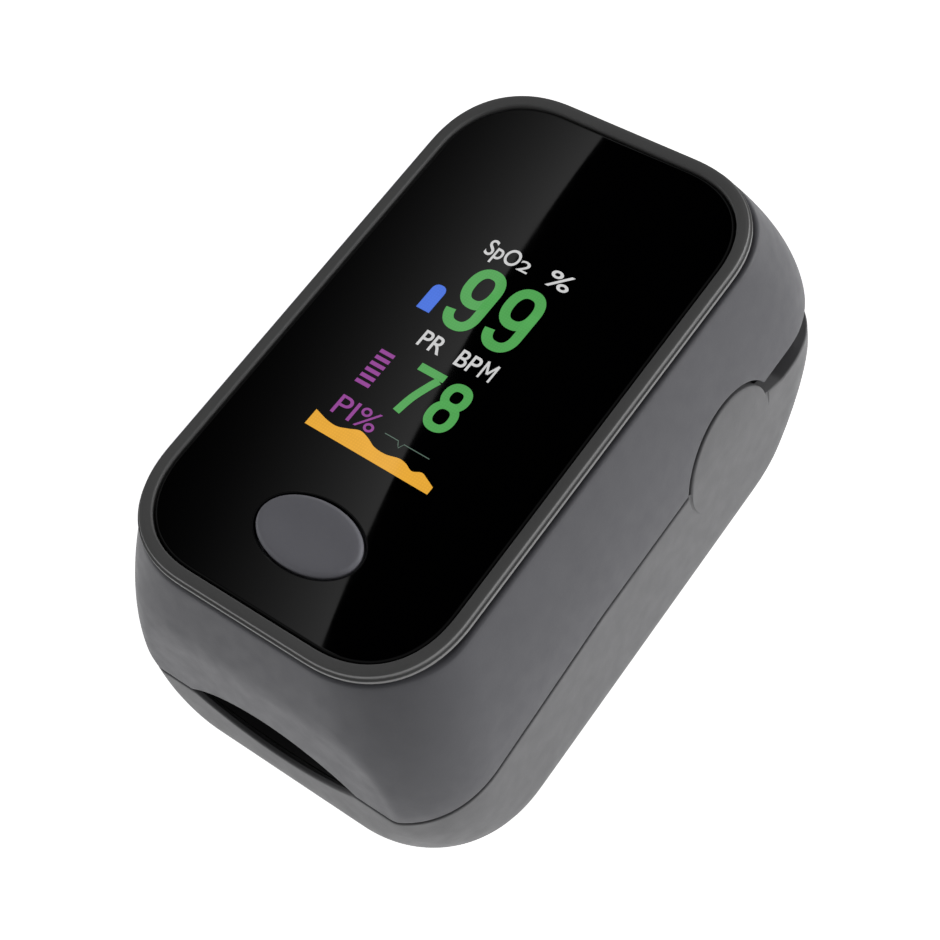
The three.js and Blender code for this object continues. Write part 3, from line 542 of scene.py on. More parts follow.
def make_upper_casing():
    shell = upper_shell()
    posts = [rod((x, y, 22.7), (x, y, ROOF_BOTTOM + 0.5), UPPER_POST_RADIUS) for x, y in UPPER_SCREWS]
    combine(shell, posts, "UNION")
    holes = [rod((x, y, 21), (x, y, 27), SCREW_HOLE_RADIUS) for x, y in UPPER_SCREWS]
    return combine(shell, holes, "DIFFERENCE")


def make_lower_casing():
    shell = lower_shell()
    # The rear posts start higher, inside the rounded heel.
    posts = [rod((x, y, 3.2 if y < 0 else 5.4), (x, y, 12.2), LOWER_POST_RADIUS) for x, y in LOWER_SCREWS]
    combine(shell, posts, "UNION")
    tools = [rod((x, y, 6), (x, y, 14), SCREW_HOLE_RADIUS) for x, y in LOWER_SCREWS]
    half = DOOR_HALF + DOOR_CLEARANCE
    tools.append(block((-half, half), (DOOR_FRONT - DOOR_CLEARANCE, 40), (-1, DOOR_LIP + DOOR_CLEARANCE)))
    tools.append(rod((-PIN_REACH, HINGE_Y, HINGE_Z), (PIN_REACH, HINGE_Y, HINGE_Z), PIN_HOLE_RADIUS))
    for flank in (-GROOVE_X, GROOVE_X):
        tools.append(groove(163, 227, GROOVE_RADIUS, 0.34, 0.04, flank))
        tools.append(groove(12, -16, GROOVE_RADIUS, 0.28, 0.03, flank))
    return combine(shell, tools, "DIFFERENCE")


def make_door():
    """Sliding battery door: the skin of the base, with finger grips and an arrow sunk into it."""
    outer = floor_rings(0, 0, OUTER_FLOOR) + [body(z) for z in BASE_HEIGHTS]
    inner = [body(z, DOOR_THICKNESS) for z in (6.0, 5.0, 4.2, 3.4, 2.8, 2.2, 1.7, 1.4, DOOR_THICKNESS)]
    inner += floor_rings(DOOR_THICKNESS, DOOR_THICKNESS, INNER_FLOOR)
    door = ring_object("battery_cover", outer + inner, closed=False)
    limits = block((-DOOR_HALF, DOOR_HALF), (DOOR_FRONT, 40), (-1, DOOR_LIP))
    combine(door, [limits], "INTERSECT")
    rows = np.arange(-17.5, -8, GRIP_PITCH)
    grips = [rod((-6.5, y, -0.15), (6.5, y, -0.15), GRIP_RADIUS, 20) for y in rows]
    arrow = [(-2.4, 0), (2.4, 0), (0, 3.2)]
    point = np.array([[x, -4.5 + y, z] for z in (-1, 0.35) for x, y in arrow]).reshape(2, 3, 3)
    grips.append(ring_object("tool", point, closed=False))
    return combine(door, grips, "DIFFERENCE")


# ---------------------------------------------------------------- window, bezel and button

WINDOW_CORNER = 8.0
WINDOW_POWER = 2.3


def window_ring(grow, z):
    """Outline of the window, grown outwards, counter-clockwise from above."""
    radius = WINDOW_CORNER + grow
    angles = np.linspace(0, math.pi / 2, 30)
    x = LENS_HALF[0] + grow - radius + radius * np.cos(angles) ** (2 / WINDOW_POWER)
    y = LENS_HALF[1] + grow - radius + radius * np.sin(angles) ** (2 / WINDOW_POWER)
    quarter = np.column_stack([x, y])
    arcs = [quarter, quarter[::-1] * [-1, 1], -quarter, quarter[::-1] * [1, -1]]
    share = np.linspace(0, 1, 26)[1:-1, None]
    flat = np.vstack([piece for arc, following in zip(arcs, arcs[1:] + arcs[:1])
                      for piece in (arc, arc[-1] + (following[0] - arc[-1]) * share)])
    return np.column_stack([flat[:, 0], flat[:, 1] + WINDOW_Y, np.full(len(flat), z)])


def arc_profile(centre, radius, start, stop, steps):
    """Points (grow, z) along an arc, angles in degrees from the outward direction."""
    angles = np.radians(np.linspace(start, stop, steps))
    return [(centre[0] + radius * math.cos(a), centre[1] + radius * math.sin(a)) for a in angles]


def make_bezel():
    """Raised rim round the window: a flat crown, and a small ledge outside it."""
    profile = [(0.15, 30.45), (1.36, 30.45)]
    profile += arc_profile((1.32, 30.53), 0.08, -60, 0, 4)
    profile += arc_profile((1.34, 30.79), 0.06, 0, 90, 5)
    profile += [(1.21, 30.85), (1.185, 30.88)]
    profile += arc_profile((1.08, 31.18), 0.1, 0, 80, 6)
    profile += [(0.8, 31.29), (0.45, 31.27)]
    profile += arc_profile((0.3, 31.11), 0.15, 80, 180, 6)
    return ring_object("bezel", [window_ring(g, z) for g, z in profile], sharp_angle=50)


def make_gasket():
    """Foam seal that the bezel is pressed down on."""
    profile = [(0.1, 29.15), (0.44, 29.15)]
    profile += arc_profile((0.32, 29.4), 0.18, -60, 60, 5)
    profile += arc_profile((0.34, 30.1), 0.16, -60, 60, 5)
    profile += [(0.4, 30.4), (0.1, 30.4)]
    return ring_object("gasket", [window_ring(g, z) for g, z in profile], sharp_angle=50)


def ellipse_ring(grow, z, like=None, steps=96):
    """Outline of the button. With like, one point on the ray from the button's centre to each point."""
    if like is None:
        angles = np.linspace(0, 2 * math.pi, steps, endpoint=False)
        x, y = np.cos(angles), np.sin(angles)
        flat = np.column_stack([(BUTTON_HALF[0] + grow) * x, (BUTTON_HALF[1] + grow) * y])
    else:
        rays = like[:, :2] - [0, BUTTON_Y]
        half = np.array([BUTTON_HALF[0] + grow, BUTTON_HALF[1] + grow])
        flat = rays / np.linalg.norm(rays / half, axis=1)[:, None]
    return np.column_stack([flat[:, 0], flat[:, 1] + BUTTON_Y, np.full(len(flat), z)])


def make_lens():
    """Black acrylic window with a softened rim and a hole for the button."""
    edge = 0.25
    like = window_ring(0, LENS_TOP)
    rings = [window_ring(0, LENS_BOTTOM), window_ring(0, LENS_TOP - edge)]
    rings += [window_ring(g, z) for g, z in arc_profile((-edge, LENS_TOP - edge), edge, 18, 90, 5)]
    rings += [window_ring(-edge - 0.03, LENS_TOP)]
    rings += [ellipse_ring(0.34, LENS_TOP, like), ellipse_ring(0.3, LENS_TOP, like)]
    rings += [ellipse_ring(g, z, like) for g, z in [(0.24, LENS_TOP - 0.03), (0.2, LENS_TOP - 0.1)]]
    rings += [ellipse_ring(0.2, LENS_BOTTOM, like)]
    return ring_object("window", rings, sharp_angle=40)


def make_button():
    """Oval key with a rolled edge, a barely dished crown and a flange under the roof."""
    profile = [(1.0, 28.95), (1.0, 29.5), (0.02, 29.5), (0, 29.6), (0, 30.85)]
    profile += arc_profile((-0.42, 30.88), 0.42, 8, 86, 9)
    profile += [(-0.75, HEIGHT), (-1.2, HEIGHT - 0.01), (-1.9, HEIGHT - 0.05), (-2.6, HEIGHT - 0.07)]
    rings = [ellipse_ring(g, z) for g, z in profile]
    return ring_object("power_key", rings, closed=False, sharp_angle=45)


# ---------------------------------------------------------------- finger pads

FINGER_Y = [-38, -29, -25, -21, -6, 2, 5.5, 7.4, 8.2]
FINGER_HALF = [9.2, 9.2, 9.3, 9.2, 9.2, 9.0, 7.6, 5.2, 2.4]
FINGER_MIDDLE = [13.9, 13.9, 14.4, 15.0, 15.6, 15.6, 15.6, 15.6, 15.6]
FINGER_UP = [3.4, 3.4, 4.6, 4.5, 4.0, 4.0, 3.6, 2.7, 1.2]
FINGER_DOWN = [2.4, 2.4, 1.5, 0.8, 1.4, 1.4, 1.3, 1.0, 0.5]
FINGER_POWER = [0.9, 0.9, 0.7, 0.55, 0.5, 0.5, 0.5, 0.5, 0.5]
PAD_HALF = 10.3
PAD_ROLL = 0.4
RIB_PITCH = 1.3
RIB_HEIGHT = 0.09


def finger_wall(x, y, heights, direction):
    """Height of the finger's space above or below the seam."""
    half = np.interp(y, FINGER_Y, FINGER_HALF)
    lift = np.maximum(0, 1 - (x / half) ** 2) ** np.interp(y, FINGER_Y, FINGER_POWER)
    lift = np.where(y > FINGER_Y[-1], 0, lift)
    return np.interp(y, FINGER_Y, FINGER_MIDDLE) + direction * np.interp(y, FINGER_Y, heights) * lift


def ribs(x, y):
    """Fine grip ribs across the pad, fading out towards its sides and ends."""
    fade = np.clip((8 - np.abs(x)) / 2, 0, 1) * np.clip((y + 26) / 3, 0, 1) * np.clip((3 - y) / 3, 0, 1)
    wave = 0.5 + 0.5 * np.cos(2 * math.pi * y / RIB_PITCH)
    return RIB_HEIGHT * fade * wave


def rim_drop(x, y, front, rear):
    """Rolls a pad's edge over by a small radius."""
    depth = np.minimum(PAD_HALF - np.abs(x), np.minimum(y - front, rear - y))
    return roll_over(depth, PAD_ROLL)


def dense(start, stop, step, edge=0.5):
    """Evenly spaced values with extra ones close to both ends."""
    near = edge * (1 - np.cos(np.radians([0, 18, 36, 54, 72, 90])))
    middle = np.linspace(start + edge, stop - edge, int((stop - start) / step))[1:-1]
    return np.concatenate([start + near, middle, stop - near[::-1]])


def pad_nose(front, heights, direction):
    """Thin lining that carries a pad's surface forward to just behind the lip of the mouth."""
    def face(x, y):
        wall = finger_wall(x, y, heights, direction)
        return np.maximum(wall, seam(y) + 0.4) if direction > 0 else np.minimum(wall, seam(y))

    def back(x, y):
        return face(x, y) + direction * 0.6

    low, high = (face, back) if direction > 0 else (back, face)
    return slab("tool", np.linspace(-9.1, 9.1, 75), np.linspace(front, -27.2, 12), low, high)


def make_lower_pad():
    front, rear = -28.4, STOP_Y - 0.4

    def high(x, y):
        top = np.minimum(finger_wall(x, y, FINGER_DOWN, -1), seam(y)) - ribs(x, y)
        return top - rim_drop(x, y, front, rear)

    def low(x, y):
        return np.interp(y, [-27.32, -27.28, -21.82, -21.78], [9.6, 12.35, 12.35, 13.5]) + 0 * x

    steps = np.concatenate([dense(front, rear, 0.2), [-27.32, -27.28, -21.82, -21.78]])
    pad = slab("lower_pad", dense(-PAD_HALF, PAD_HALF, 0.25), np.unique(steps), low, high)
    combine(pad, [pad_nose(-29.85, FINGER_DOWN, -1)], "UNION")
    return combine(pad, [rod((0, SENSOR_Y, 12), (0, SENSOR_Y, 17), 2.3, 48)], "DIFFERENCE")


def make_upper_pad():
    front, rear = -28.2, STOP_Y

    def low(x, y):
        under_side = np.maximum(finger_wall(x, y, FINGER_UP, 1), seam(y) + 0.4) + ribs(x, y)
        return under_side + rim_drop(x, y, front, rear)

    def high(x, y):
        return 21.1 + 0 * x

    pad = slab("upper_pad", dense(-PAD_HALF, PAD_HALF, 0.25), dense(front, rear, 0.2), low, high)
    combine(pad, [pad_nose(-29.35, FINGER_UP, 1)], "UNION")
    return combine(pad, [rod((0, SENSOR_Y, 16), (0, SENSOR_Y, 23), 2.2, 48)], "DIFFERENCE")


# ---------------------------------------------------------------- springs and ribbon

SPRING_WIRE = 0.28
SPRING_COIL = 1.7
SPRING_TURNS = 5
SPRING_SPAN = (8.78, 11.82)


def make_spring(name, hand):
    """Torsion spring on the hinge pin: one leg along the tray, the other up under the lid."""
    inner, outer = SPRING_SPAN
    path = [(hand * inner, HINGE_Y + 7.5, 13.72), (hand * inner, HINGE_Y + 5.4, 13.68)]
    path += [(hand * inner, HINGE_Y + 3.4, 13.62), (hand * inner, HINGE_Y + 1.7, 13.3)]
    turns = np.linspace(math.pi * 1.08, SPRING_TURNS * 2 * math.pi, SPRING_TURNS * 24)
    share = np.linspace(0, 1, len(turns))
    coil = np.column_stack([
        hand * (inner + (outer - inner) * share),
        HINGE_Y + SPRING_COIL * np.sin(turns), HINGE_Z + SPRING_COIL * np.cos(turns),
    ])
    leg = [(hand * outer, HINGE_Y + 1.5, 16.6), (hand * outer, HINGE_Y + 3.2, 18.0)]
    leg += [(hand * outer, HINGE_Y + 4.8, 19.4), (hand * outer, HINGE_Y + 6.4, 20.8)]
    points = smooth_path(path, 6)[:-1]
    points = np.vstack([points, coil, smooth_path([coil[-1], *leg], 6)[1:]])
    return sweep(name, points, round_section(SPRING_WIRE, 10))


RIBBON_HALF = (3.0, 0.1)


def make_ribbon():
    """Flexible circuit from the detector up to the main board, slack enough for the jaw to open."""
    route = [(0, 12.2, 13.5), (0, 12.2, 15.5), (0, 13.2, 18.5), (0, 13.6, 21.5), (0, 13.0, 24.25)]
    width, thick = RIBBON_HALF
    section = [(-width, -thick), (-width / 3, -thick), (width / 3, -thick), (width, -thick)]
    section += [(width, thick), (width / 3, thick), (-width / 3, thick), (-width, thick)]
    return sweep("sensor_flex", smooth_path(route, 12), section, across=(1, 0, 0))


# ---------------------------------------------------------------- readout

READOUT_Z = LENS_TOP + 0.01
READOUT_FILM = 0.015
READOUT_TURN = math.radians(-1.2)


def to_window(points):
    """Flat points about the window's centre, turned with the display and laid just above the window."""
    flat = np.asarray(points, float)
    c, s = math.cos(READOUT_TURN), math.sin(READOUT_TURN)
    x = flat[:, 0] * c - flat[:, 1] * s
    y = flat[:, 0] * s + flat[:, 1] * c + WINDOW_Y
    return np.column_stack([x, y, np.full(len(flat), READOUT_Z)])


def thicken(mesh):
    """Turns flat faces that share their edges into a closed film."""
    work = bmesh.new()
    work.from_mesh(mesh)
    bmesh.ops.remove_doubles(work, verts=work.verts, dist=0.002 * MM)
    bmesh.ops.solidify(work, geom=work.faces[:], thickness=-READOUT_FILM * MM)
    bmesh.ops.recalc_face_normals(work, faces=work.faces)
    work.to_mesh(mesh)
    work.free()


def flat_object(name, loops):
    """Film made of one face for each loop of points."""
    points, faces = [], []
    for loop in loops:
        faces.append(tuple(range(len(points), len(points) + len(loop))))
        points += list(loop)
    mesh = new_mesh(name, to_window(points), faces)
    thicken(mesh)
    return new_object(name, mesh)


def stroke(points, width, closed=False):
    """Ribbon of even width along a line, as loops of four points."""
    p = np.asarray(points, float)
    ahead = np.roll(p, -1, 0) - np.roll(p, 1, 0) if closed else np.gradient(p, axis=0)
    ahead /= np.linalg.norm(ahead, axis=1)[:, None]
    normal = np.column_stack([-ahead[:, 1], ahead[:, 0]]) * width / 2
    left, right = p + normal, p - normal
    count = len(p) if closed else len(p) - 1
    return [[right[i], right[(i + 1) % len(p)], left[(i + 1) % len(p)], left[i]] for i in range(count)]


def oval(cx, cy, rx, ry, start=0, stop=360, steps=40, power=2.3):
    """Arc of a superellipse, anticlockwise in degrees."""
    points = []
    for a in np.radians(np.linspace(start, stop, steps)):
        c, s = math.cos(a), math.sin(a)
        points.append((cx + rx * math.copysign(abs(c) ** (2 / power), c),
                       cy + ry * math.copysign(abs(s) ** (2 / power), s)))
    return points


def nine(x, y, width, height, weight):
    """Digit 9 in a box with its lower left corner at x, y."""
    w, h = width - weight, height - weight
    cx, low, high = x + width / 2, y + weight / 2, y + height - weight / 2
    bowl = oval(cx, high - h * 0.29, w / 2, h * 0.29)[:-1]
    tail = [(x + width - weight / 2, high - h * t) for t in np.linspace(0.28, 0.66, 8)]
    tail += oval(cx, low + h * 0.27, w / 2, h * 0.27, 0, -172, 26)[1:]
    return stroke(bowl, weight, True) + stroke(tail, weight)


def eight(x, y, width, height, weight):
    w, h = width - weight, height - weight
    cx, low, high = x + width / 2, y + weight / 2, y + height - weight / 2
    top = oval(cx, high - h * 0.23, w * 0.45, h * 0.23)[:-1]
    bottom = oval(cx, low + h * 0.27, w / 2, h * 0.27)[:-1]
    return stroke(top, weight, True) + stroke(bottom, weight, True)


def seven(x, y, width, height, weight):
    bar = [(x, y + height - weight / 2), (x + width, y + height - weight / 2)]
    leg = [(x + width - weight / 2, y + height - weight), (x + width * 0.72, y + height * 0.68)]
    leg += [(x + width * 0.5, y + height * 0.35), (x + width * 0.38, y)]
    return stroke(bar, weight) + stroke(smooth_path([(*p, 0) for p in leg], 6)[:, :2], weight)


def letter_m(x, y, width, height, weight):
    """Capital M in a box with its lower left corner at x, y."""
    left, right = x + weight / 2, x + width - weight / 2
    top = y + height
    corners = [(left, y), (left, top), (x + width / 2, y + height * 0.35), (right, top), (right, y)]
    loops = []
    for start, stop in zip(corners[:-1], corners[1:]):
        loops += stroke([start, stop], weight)
    return loops


def label(name, text, x, y, width, height, weight=0.008):
    """Lettering fitted to a box with its lower left corner at x, y; its cap height is height."""
    curve = bpy.data.curves.new(name, "FONT")
    curve.body = text
    curve.offset = weight
    curve.resolution_u = 6
    temp = new_object(name, curve)
    graph = bpy.context.evaluated_depsgraph_get()
    mesh = bpy.data.meshes.new_from_object(temp.evaluated_get(graph))
    bpy.data.objects.remove(temp)
    points = np.array([v.co[:2] for v in mesh.vertices])
    low, high = points.min(0), points.max(0)
    capital = 0.729
    points = (points - [low[0], 0]) * [width / (high[0] - low[0]), height / capital] + [x, y]
    for vertex, place in zip(mesh.vertices, to_window(points)):
        vertex.co = place * MM
    thicken(mesh)
    return new_object(name, mesh)


def wave_band():
    """Pulse wave: a filled band with a rolling upper edge."""
    crest = [(-6.7, -9.2), (-5.3, -9.55), (-4.2, -9.62), (-3.2, -9.3), (-2.2, -8.93), (-1.2, -9.15),
             (-0.2, -9.55), (1.0, -9.6), (2.2, -9.32), (3.0, -9.42), (3.8, -9.72), (4.6, -9.4),
             (5.3, -9.62), (6.2, -10.0)]
    top = smooth_path([(*p, 0) for p in crest], 6)[:, :2]
    foot = -10.75
    return [[(p[0], foot), (q[0], foot), tuple(q), tuple(p)] for p, q in zip(top[:-1], top[1:])]


def pulse_bar():
    cap = oval(-5.2, 5.2, 0.68, 0.72, 0, 180, 20)
    return [[(-4.52, 3.1), *cap, (-5.88, 3.1)]]


def perfusion_bars():
    left, right, thick, pitch = -5.72, -4.25, 0.36, 0.66
    loops = []
    for y in np.arange(-5.4, -1.8, pitch):
        loops.append([(left, y), (right, y), (right, y + thick), (left, y + thick)])
    return loops


def trend_line():
    beat = [(-0.3, -8.05), (1.1, -8.05), (1.3, -8.35), (1.5, -8.6), (1.75, -8.1), (4.35, -8.1)]
    return stroke(beat, 0.07)


def make_readout():
    """The lit display content, grouped by colour."""
    digits = nine(-3.65, 2.75, 3.45, 6.7, 0.94) + nine(0.45, 2.75, 3.5, 6.7, 0.94)
    digits += seven(-1.85, -5.95, 2.65, 4.85, 0.74) + eight(1.3, -5.95, 2.8, 4.9, 0.76)
    return [
        (flat_object("readout_digits", digits), "green"),
        (flat_object("readout_wave", wave_band()), "amber"),
        (flat_object("readout_pulse_bar", pulse_bar()), "blue"),
        (flat_object("readout_perfusion_bars", perfusion_bars()), "magenta"),
        (flat_object("readout_trend", trend_line()), "dim"),
        (label("readout_spo", "SpO", -4.35, 10.4, 3.35, 1.72), "white"),
        (label("readout_two", "2", -0.85, 10.4, 1.1, 1.15), "white"),
        (label("readout_percent", "%", 2.05, 10.4, 2.3, 1.75), "white"),
        (label("readout_pulse_rate", "PR", -3.55, 0.1, 2.35, 1.72), "white"),
        (label("readout_per_minute", "BP", 0.35, 0.1, 2.15, 1.72), "white"),
        (flat_object("readout_minute", letter_m(2.8, 0.1, 1.25, 1.72, 0.2)), "white"),
        (label("readout_perfusion", "PI%", -5.65, -8.75, 4.35, 2.0, 0.0), "magenta"),
    ]


# ---------------------------------------------------------------- materials

def linear(hex_colour):
    """Scene colour for a #rrggbb display colour."""
    parts = [int(hex_colour[i:i + 2], 16) / 255 for i in (1, 3, 5)]
    return tuple(c / 12.92 if c <= 0.04045 else ((c + 0.055) / 1.055) ** 2.4 for c in parts) + (1.0,)


def tinted(colour, factor):
    return tuple(c * factor for c in colour[:3]) + (1.0,)


def set_range(node, low, high, to_low, to_high):
    """Fills in a Map Range node."""
    for key, number in zip(("From Min", "From Max", "To Min", "To Max"), (low, high, to_low, to_high)):
        node.inputs[key].default_value = number


class Paint:
    """One procedural material. Textures are laid out in the frame of each piece, so sizes are real."""

    def __init__(self, name, inputs):
        self.material = bpy.data.materials.new(name)
        self.material.use_nodes = True
        self.tree = self.material.node_tree
        self.shader = self.tree.nodes["Principled BSDF"]
        for key, value in inputs.items():
            self.shader.inputs[key].default_value = value
        self.place = self.tree.nodes.new("ShaderNodeTexCoord").outputs["Object"]

    def link(self, source, target):
        self.tree.links.new(source, target)

    def noise(self, size, detail=3.0, stretch=None):
        """Noise with features about size millimetres wide."""
        node = self.tree.nodes.new("ShaderNodeTexNoise")
        node.inputs["Scale"].default_value = 1 / (size * MM)
        node.inputs["Detail"].default_value = detail
        place = self.place
        if stretch:
            mapping = self.tree.nodes.new("ShaderNodeMapping")
            mapping.inputs["Scale"].default_value = stretch
            self.link(place, mapping.inputs["Vector"])
            place = mapping.outputs["Vector"]
        self.link(place, node.inputs["Vector"])
        return node.outputs["Fac"]

    def stripes(self, axis, pitch):
        node = self.tree.nodes.new("ShaderNodeTexWave")
        node.bands_direction = axis
        node.inputs["Scale"].default_value = math.pi / 10 / (pitch * MM)
        self.link(self.place, node.inputs["Vector"])
        return node.outputs["Fac"]

    def remap(self, value, low, high, to_low=0.0, to_high=1.0):
        node = self.tree.nodes.new("ShaderNodeMapRange")
        set_range(node, low, high, to_low, to_high)
        self.link(value, node.inputs["Value"])
        return node.outputs["Result"]

    def mix(self, factor, a, b):
        """Blends two colours, each a constant or a socket."""
        node = self.tree.nodes.new("ShaderNodeMix")
        node.data_type = "RGBA"
        self.link(factor, node.inputs["Factor"])
        for key, value in ((6, a), (7, b)):
            if isinstance(value, tuple):
                node.inputs[key].default_value = value
            else:
                self.link(value, node.inputs[key])
        return node.outputs[2]

    def edges(self, low=0.51, high=0.62):
        """0 on flats, 1 on outer edges, where the painted edge highlight goes."""
        node = self.tree.nodes.new("ShaderNodeNewGeometry")
        return self.remap(node.outputs["Pointiness"], low, high)

    def axis(self, name):
        node = self.tree.nodes.new("ShaderNodeSeparateXYZ")
        self.link(self.place, node.inputs["Vector"])
        return node.outputs[name]

    def colour(self, value):
        self.link(value, self.shader.inputs["Base Color"])

    def roughness(self, value):
        self.link(value, self.shader.inputs["Roughness"])

    def bump(self, height, depth, strength=1.0):
        node = self.tree.nodes.new("ShaderNodeBump")
        node.inputs["Strength"].default_value = strength
        node.inputs["Distance"].default_value = depth * MM
        self.link(height, node.inputs["Height"])
        self.link(node.outputs["Normal"], self.shader.inputs["Normal"])


def moulded(name, hex_colour, roughness=0.5, grain=0.22, depth=0.006, edge_highlight=1.06, ior=1.46):
    """Injection-moulded plastic: fine spark texture, faint flow mottling and a painted highlight that
    lightens outer edges.
    """
    paint = Paint(name, {"IOR": ior})
    base = linear(hex_colour)
    mottle = paint.mix(paint.remap(paint.noise(9, 2), 0.3, 0.7), tinted(base, 0.95), tinted(base, 1.05))
    speck = paint.mix(paint.remap(paint.noise(0.35, 4), 0.35, 0.65), mottle, tinted(base, 1.08))
    colour = paint.mix(paint.remap(paint.noise(0.9, 2), 0.3, 0.8, 0.15, 0.45), mottle, speck)
    # Painted highlight: outer edges, found by pointiness, get a lighter copy of the base colour in place
    # of light caught on them.
    paint.colour(paint.mix(paint.edges(), colour, tinted(base, edge_highlight)))
    paint.roughness(paint.remap(paint.noise(1.6, 4), 0.25, 0.75, roughness - 0.06, roughness + 0.06))
    paint.bump(paint.noise(grain, 3), depth)
    return paint.material


def acrylic():
    """Black window: gloss with the faintest film of handling."""
    paint = Paint("window_acrylic", {"IOR": 1.49})
    paint.colour(paint.mix(paint.noise(6, 2), linear("#020203"), linear("#040405")))
    paint.roughness(paint.remap(paint.noise(14, 4), 0.35, 0.75, 0.015, 0.05))
    return paint.material


def silicone():
    paint = Paint("silicone", {"IOR": 1.41})
    base = linear("#1c1c1e")
    paint.colour(paint.mix(paint.noise(4, 4), tinted(base, 0.8), tinted(base, 1.25)))
    paint.roughness(paint.remap(paint.noise(0.8, 4), 0.3, 0.7, 0.55, 0.72))
    paint.bump(paint.noise(0.3, 3), 0.008)
    return paint.material


def metal(name, hex_colour, roughness, stretch=(1, 14, 1)):
    """Drawn or stamped metal, with fine lines along its length and dull spots."""
    paint = Paint(name, {"Metallic": 1.0})
    base = linear(hex_colour)
    paint.colour(paint.mix(paint.noise(2.2, 4), tinted(base, 0.85), base))
    paint.roughness(paint.remap(paint.noise(0.5, 3, stretch), 0.3, 0.7, roughness - 0.08, roughness + 0.1))
    paint.bump(paint.noise(0.12, 2, stretch), 0.002, 0.6)
    return paint.material


def circuit_board():
    """Green solder mask over fine copper tracks."""
    paint = Paint("board", {"IOR": 1.5})
    tracks = paint.remap(paint.stripes("X", 1.1), 0.78, 0.86)
    crossings = paint.remap(paint.stripes("Y", 2.3), 0.9, 0.95)
    mask = paint.mix(tracks, linear("#1c5434"), linear("#2b7448"))
    paint.colour(paint.mix(crossings, mask, linear("#2f7b4c")))
    paint.roughness(paint.remap(paint.noise(1.2, 3), 0.3, 0.7, 0.28, 0.42))
    paint.bump(tracks, 0.02, 0.5)
    return paint.material


def ribbon_film():
    """Amber film with copper tracks that run its whole length."""
    paint = Paint("ribbon_film", {"IOR": 1.6})
    tracks = paint.remap(paint.stripes("X", 0.8), 0.55, 0.7)
    paint.colour(paint.mix(tracks, linear("#a5622a"), linear("#c98a4a")))
    paint.roughness(paint.remap(paint.noise(1.5, 3), 0.3, 0.7, 0.28, 0.4))
    paint.bump(tracks, 0.01, 0.5)
    return paint.material


def cell_jacket():
    """Shrink sleeve in two tones, with bare metal at both ends."""
    paint = Paint("cell_jacket", {"IOR": 1.5})
    along = paint.axis("Y")
    tone = paint.remap(along, 0.0079, 0.0081)
    sleeve = paint.mix(tone, linear("#2d4f70"), linear("#b9bcc0"))
    grime = paint.mix(paint.remap(paint.noise(3, 4), 0.4, 0.9, 0.0, 0.4), sleeve, linear("#23303c"))
    ends = paint.remap(along, 0.0189, 0.0190)
    paint.colour(paint.mix(ends, grime, linear("#c8cacc")))
    paint.link(ends, paint.shader.inputs["Metallic"])
    paint.roughness(paint.remap(paint.noise(1, 3), 0.3, 0.7, 0.22, 0.36))
    return paint.material


def clear_resin():
    paint = Paint("clear_resin", {"IOR": 1.5, "Transmission Weight": 0.85})
    paint.colour(paint.mix(paint.noise(1.5, 3), linear("#dfe9ee"), linear("#c9d6dd")))
    paint.roughness(paint.remap(paint.noise(0.6, 3), 0.3, 0.7, 0.06, 0.16))
    return paint.material


def lit(name, hex_colour, strength):
    """Display light, with the faint weave of the pixel rows."""
    paint = Paint(name, {"Base Color": (0.0, 0.0, 0.0, 1.0), "Roughness": 0.05, "IOR": 1.49,
                         "Emission Strength": strength})
    base = linear(hex_colour)
    rows = paint.mix(paint.stripes("Y", 0.25), tinted(base, 0.86), base)
    columns = paint.mix(paint.stripes("X", 0.25), tinted(base, 0.86), rows)
    glow = paint.mix(paint.remap(paint.noise(1.4, 3), 0.3, 0.7, 0.1, 0.5), columns, base)
    paint.link(glow, paint.shader.inputs["Emission Color"])
    return paint.material


MATERIALS = {
    "upper_plastic": moulded("upper_plastic", "#525257"),
    "lower_plastic": moulded("lower_plastic", "#616163"),
    "bezel_plastic": moulded("bezel_plastic", "#808080", roughness=0.5, depth=0.002),
    "button_plastic": moulded("button_plastic", "#adadb6", roughness=0.45, depth=0.004),
    "inner_plastic": moulded("inner_plastic", "#3c3c3f", roughness=0.55),
    "black_plastic": moulded("black_plastic", "#1a1a1c", roughness=0.42, grain=0.15),
    "adhesive": moulded("adhesive", "#101011", roughness=0.7, grain=0.4, depth=0.02),
    "display_glass": moulded("display_glass", "#0b0b0e", roughness=0.15, depth=0.001),
    "window_acrylic": acrylic(),
    "silicone": silicone(),
    "steel": metal("steel", "#b9bbbd", 0.3),
    "contact_metal": metal("contact_metal", "#c7b07a", 0.32),
    "board": circuit_board(),
    "ribbon_film": ribbon_film(),
    "cell_jacket": cell_jacket(),
    "clear_resin": clear_resin(),
}

READOUT_LIGHT = {
    "green": lit("readout_green", "#55a858", 1.0),
    "white": lit("readout_white", "#d4d4d4", 1.0),
    "blue": lit("readout_blue", "#4e78e4", 1.0),
    "magenta": lit("readout_magenta", "#98489a", 1.0),
    "amber": lit("readout_amber", "#eeae3c", 1.0),
    "dim": lit("readout_dim", "#5f7468", 1.0),
}


def dress(obj, material):
    obj.data.materials.clear()
    obj.data.materials.append(material)


# ---------------------------------------------------------------- assembly

def place(obj, slot, body_name, *nodes):
    """Gives a piece its finish and its body, and hides the CAD nodes that it stands for."""
    dress(obj, MATERIALS[slot])
    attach(obj, body_name)
    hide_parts(*nodes)


place(make_upper_casing(), "upper_plastic", "upper", "upper_shell")
place(make_lower_casing(), "lower_plastic", "lower", "lower_shell")
place(make_door(), "lower_plastic", "door", "battery_door")
place(make_bezel(), "bezel_plastic", "upper", "bezel_ring")
place(make_gasket(), "adhesive", "upper", "window_gasket")
place(make_lens(), "window_acrylic", "upper", "window_lens")
place(make_button(), "button_plastic", "button", "power_button")

for pad, body_name, node in (
    (make_upper_pad(), "upper", "upper_finger_pad"),
    (make_lower_pad(), "lower", "lower_finger_pad"),
):
    place(pad, "silicone", body_name, node)

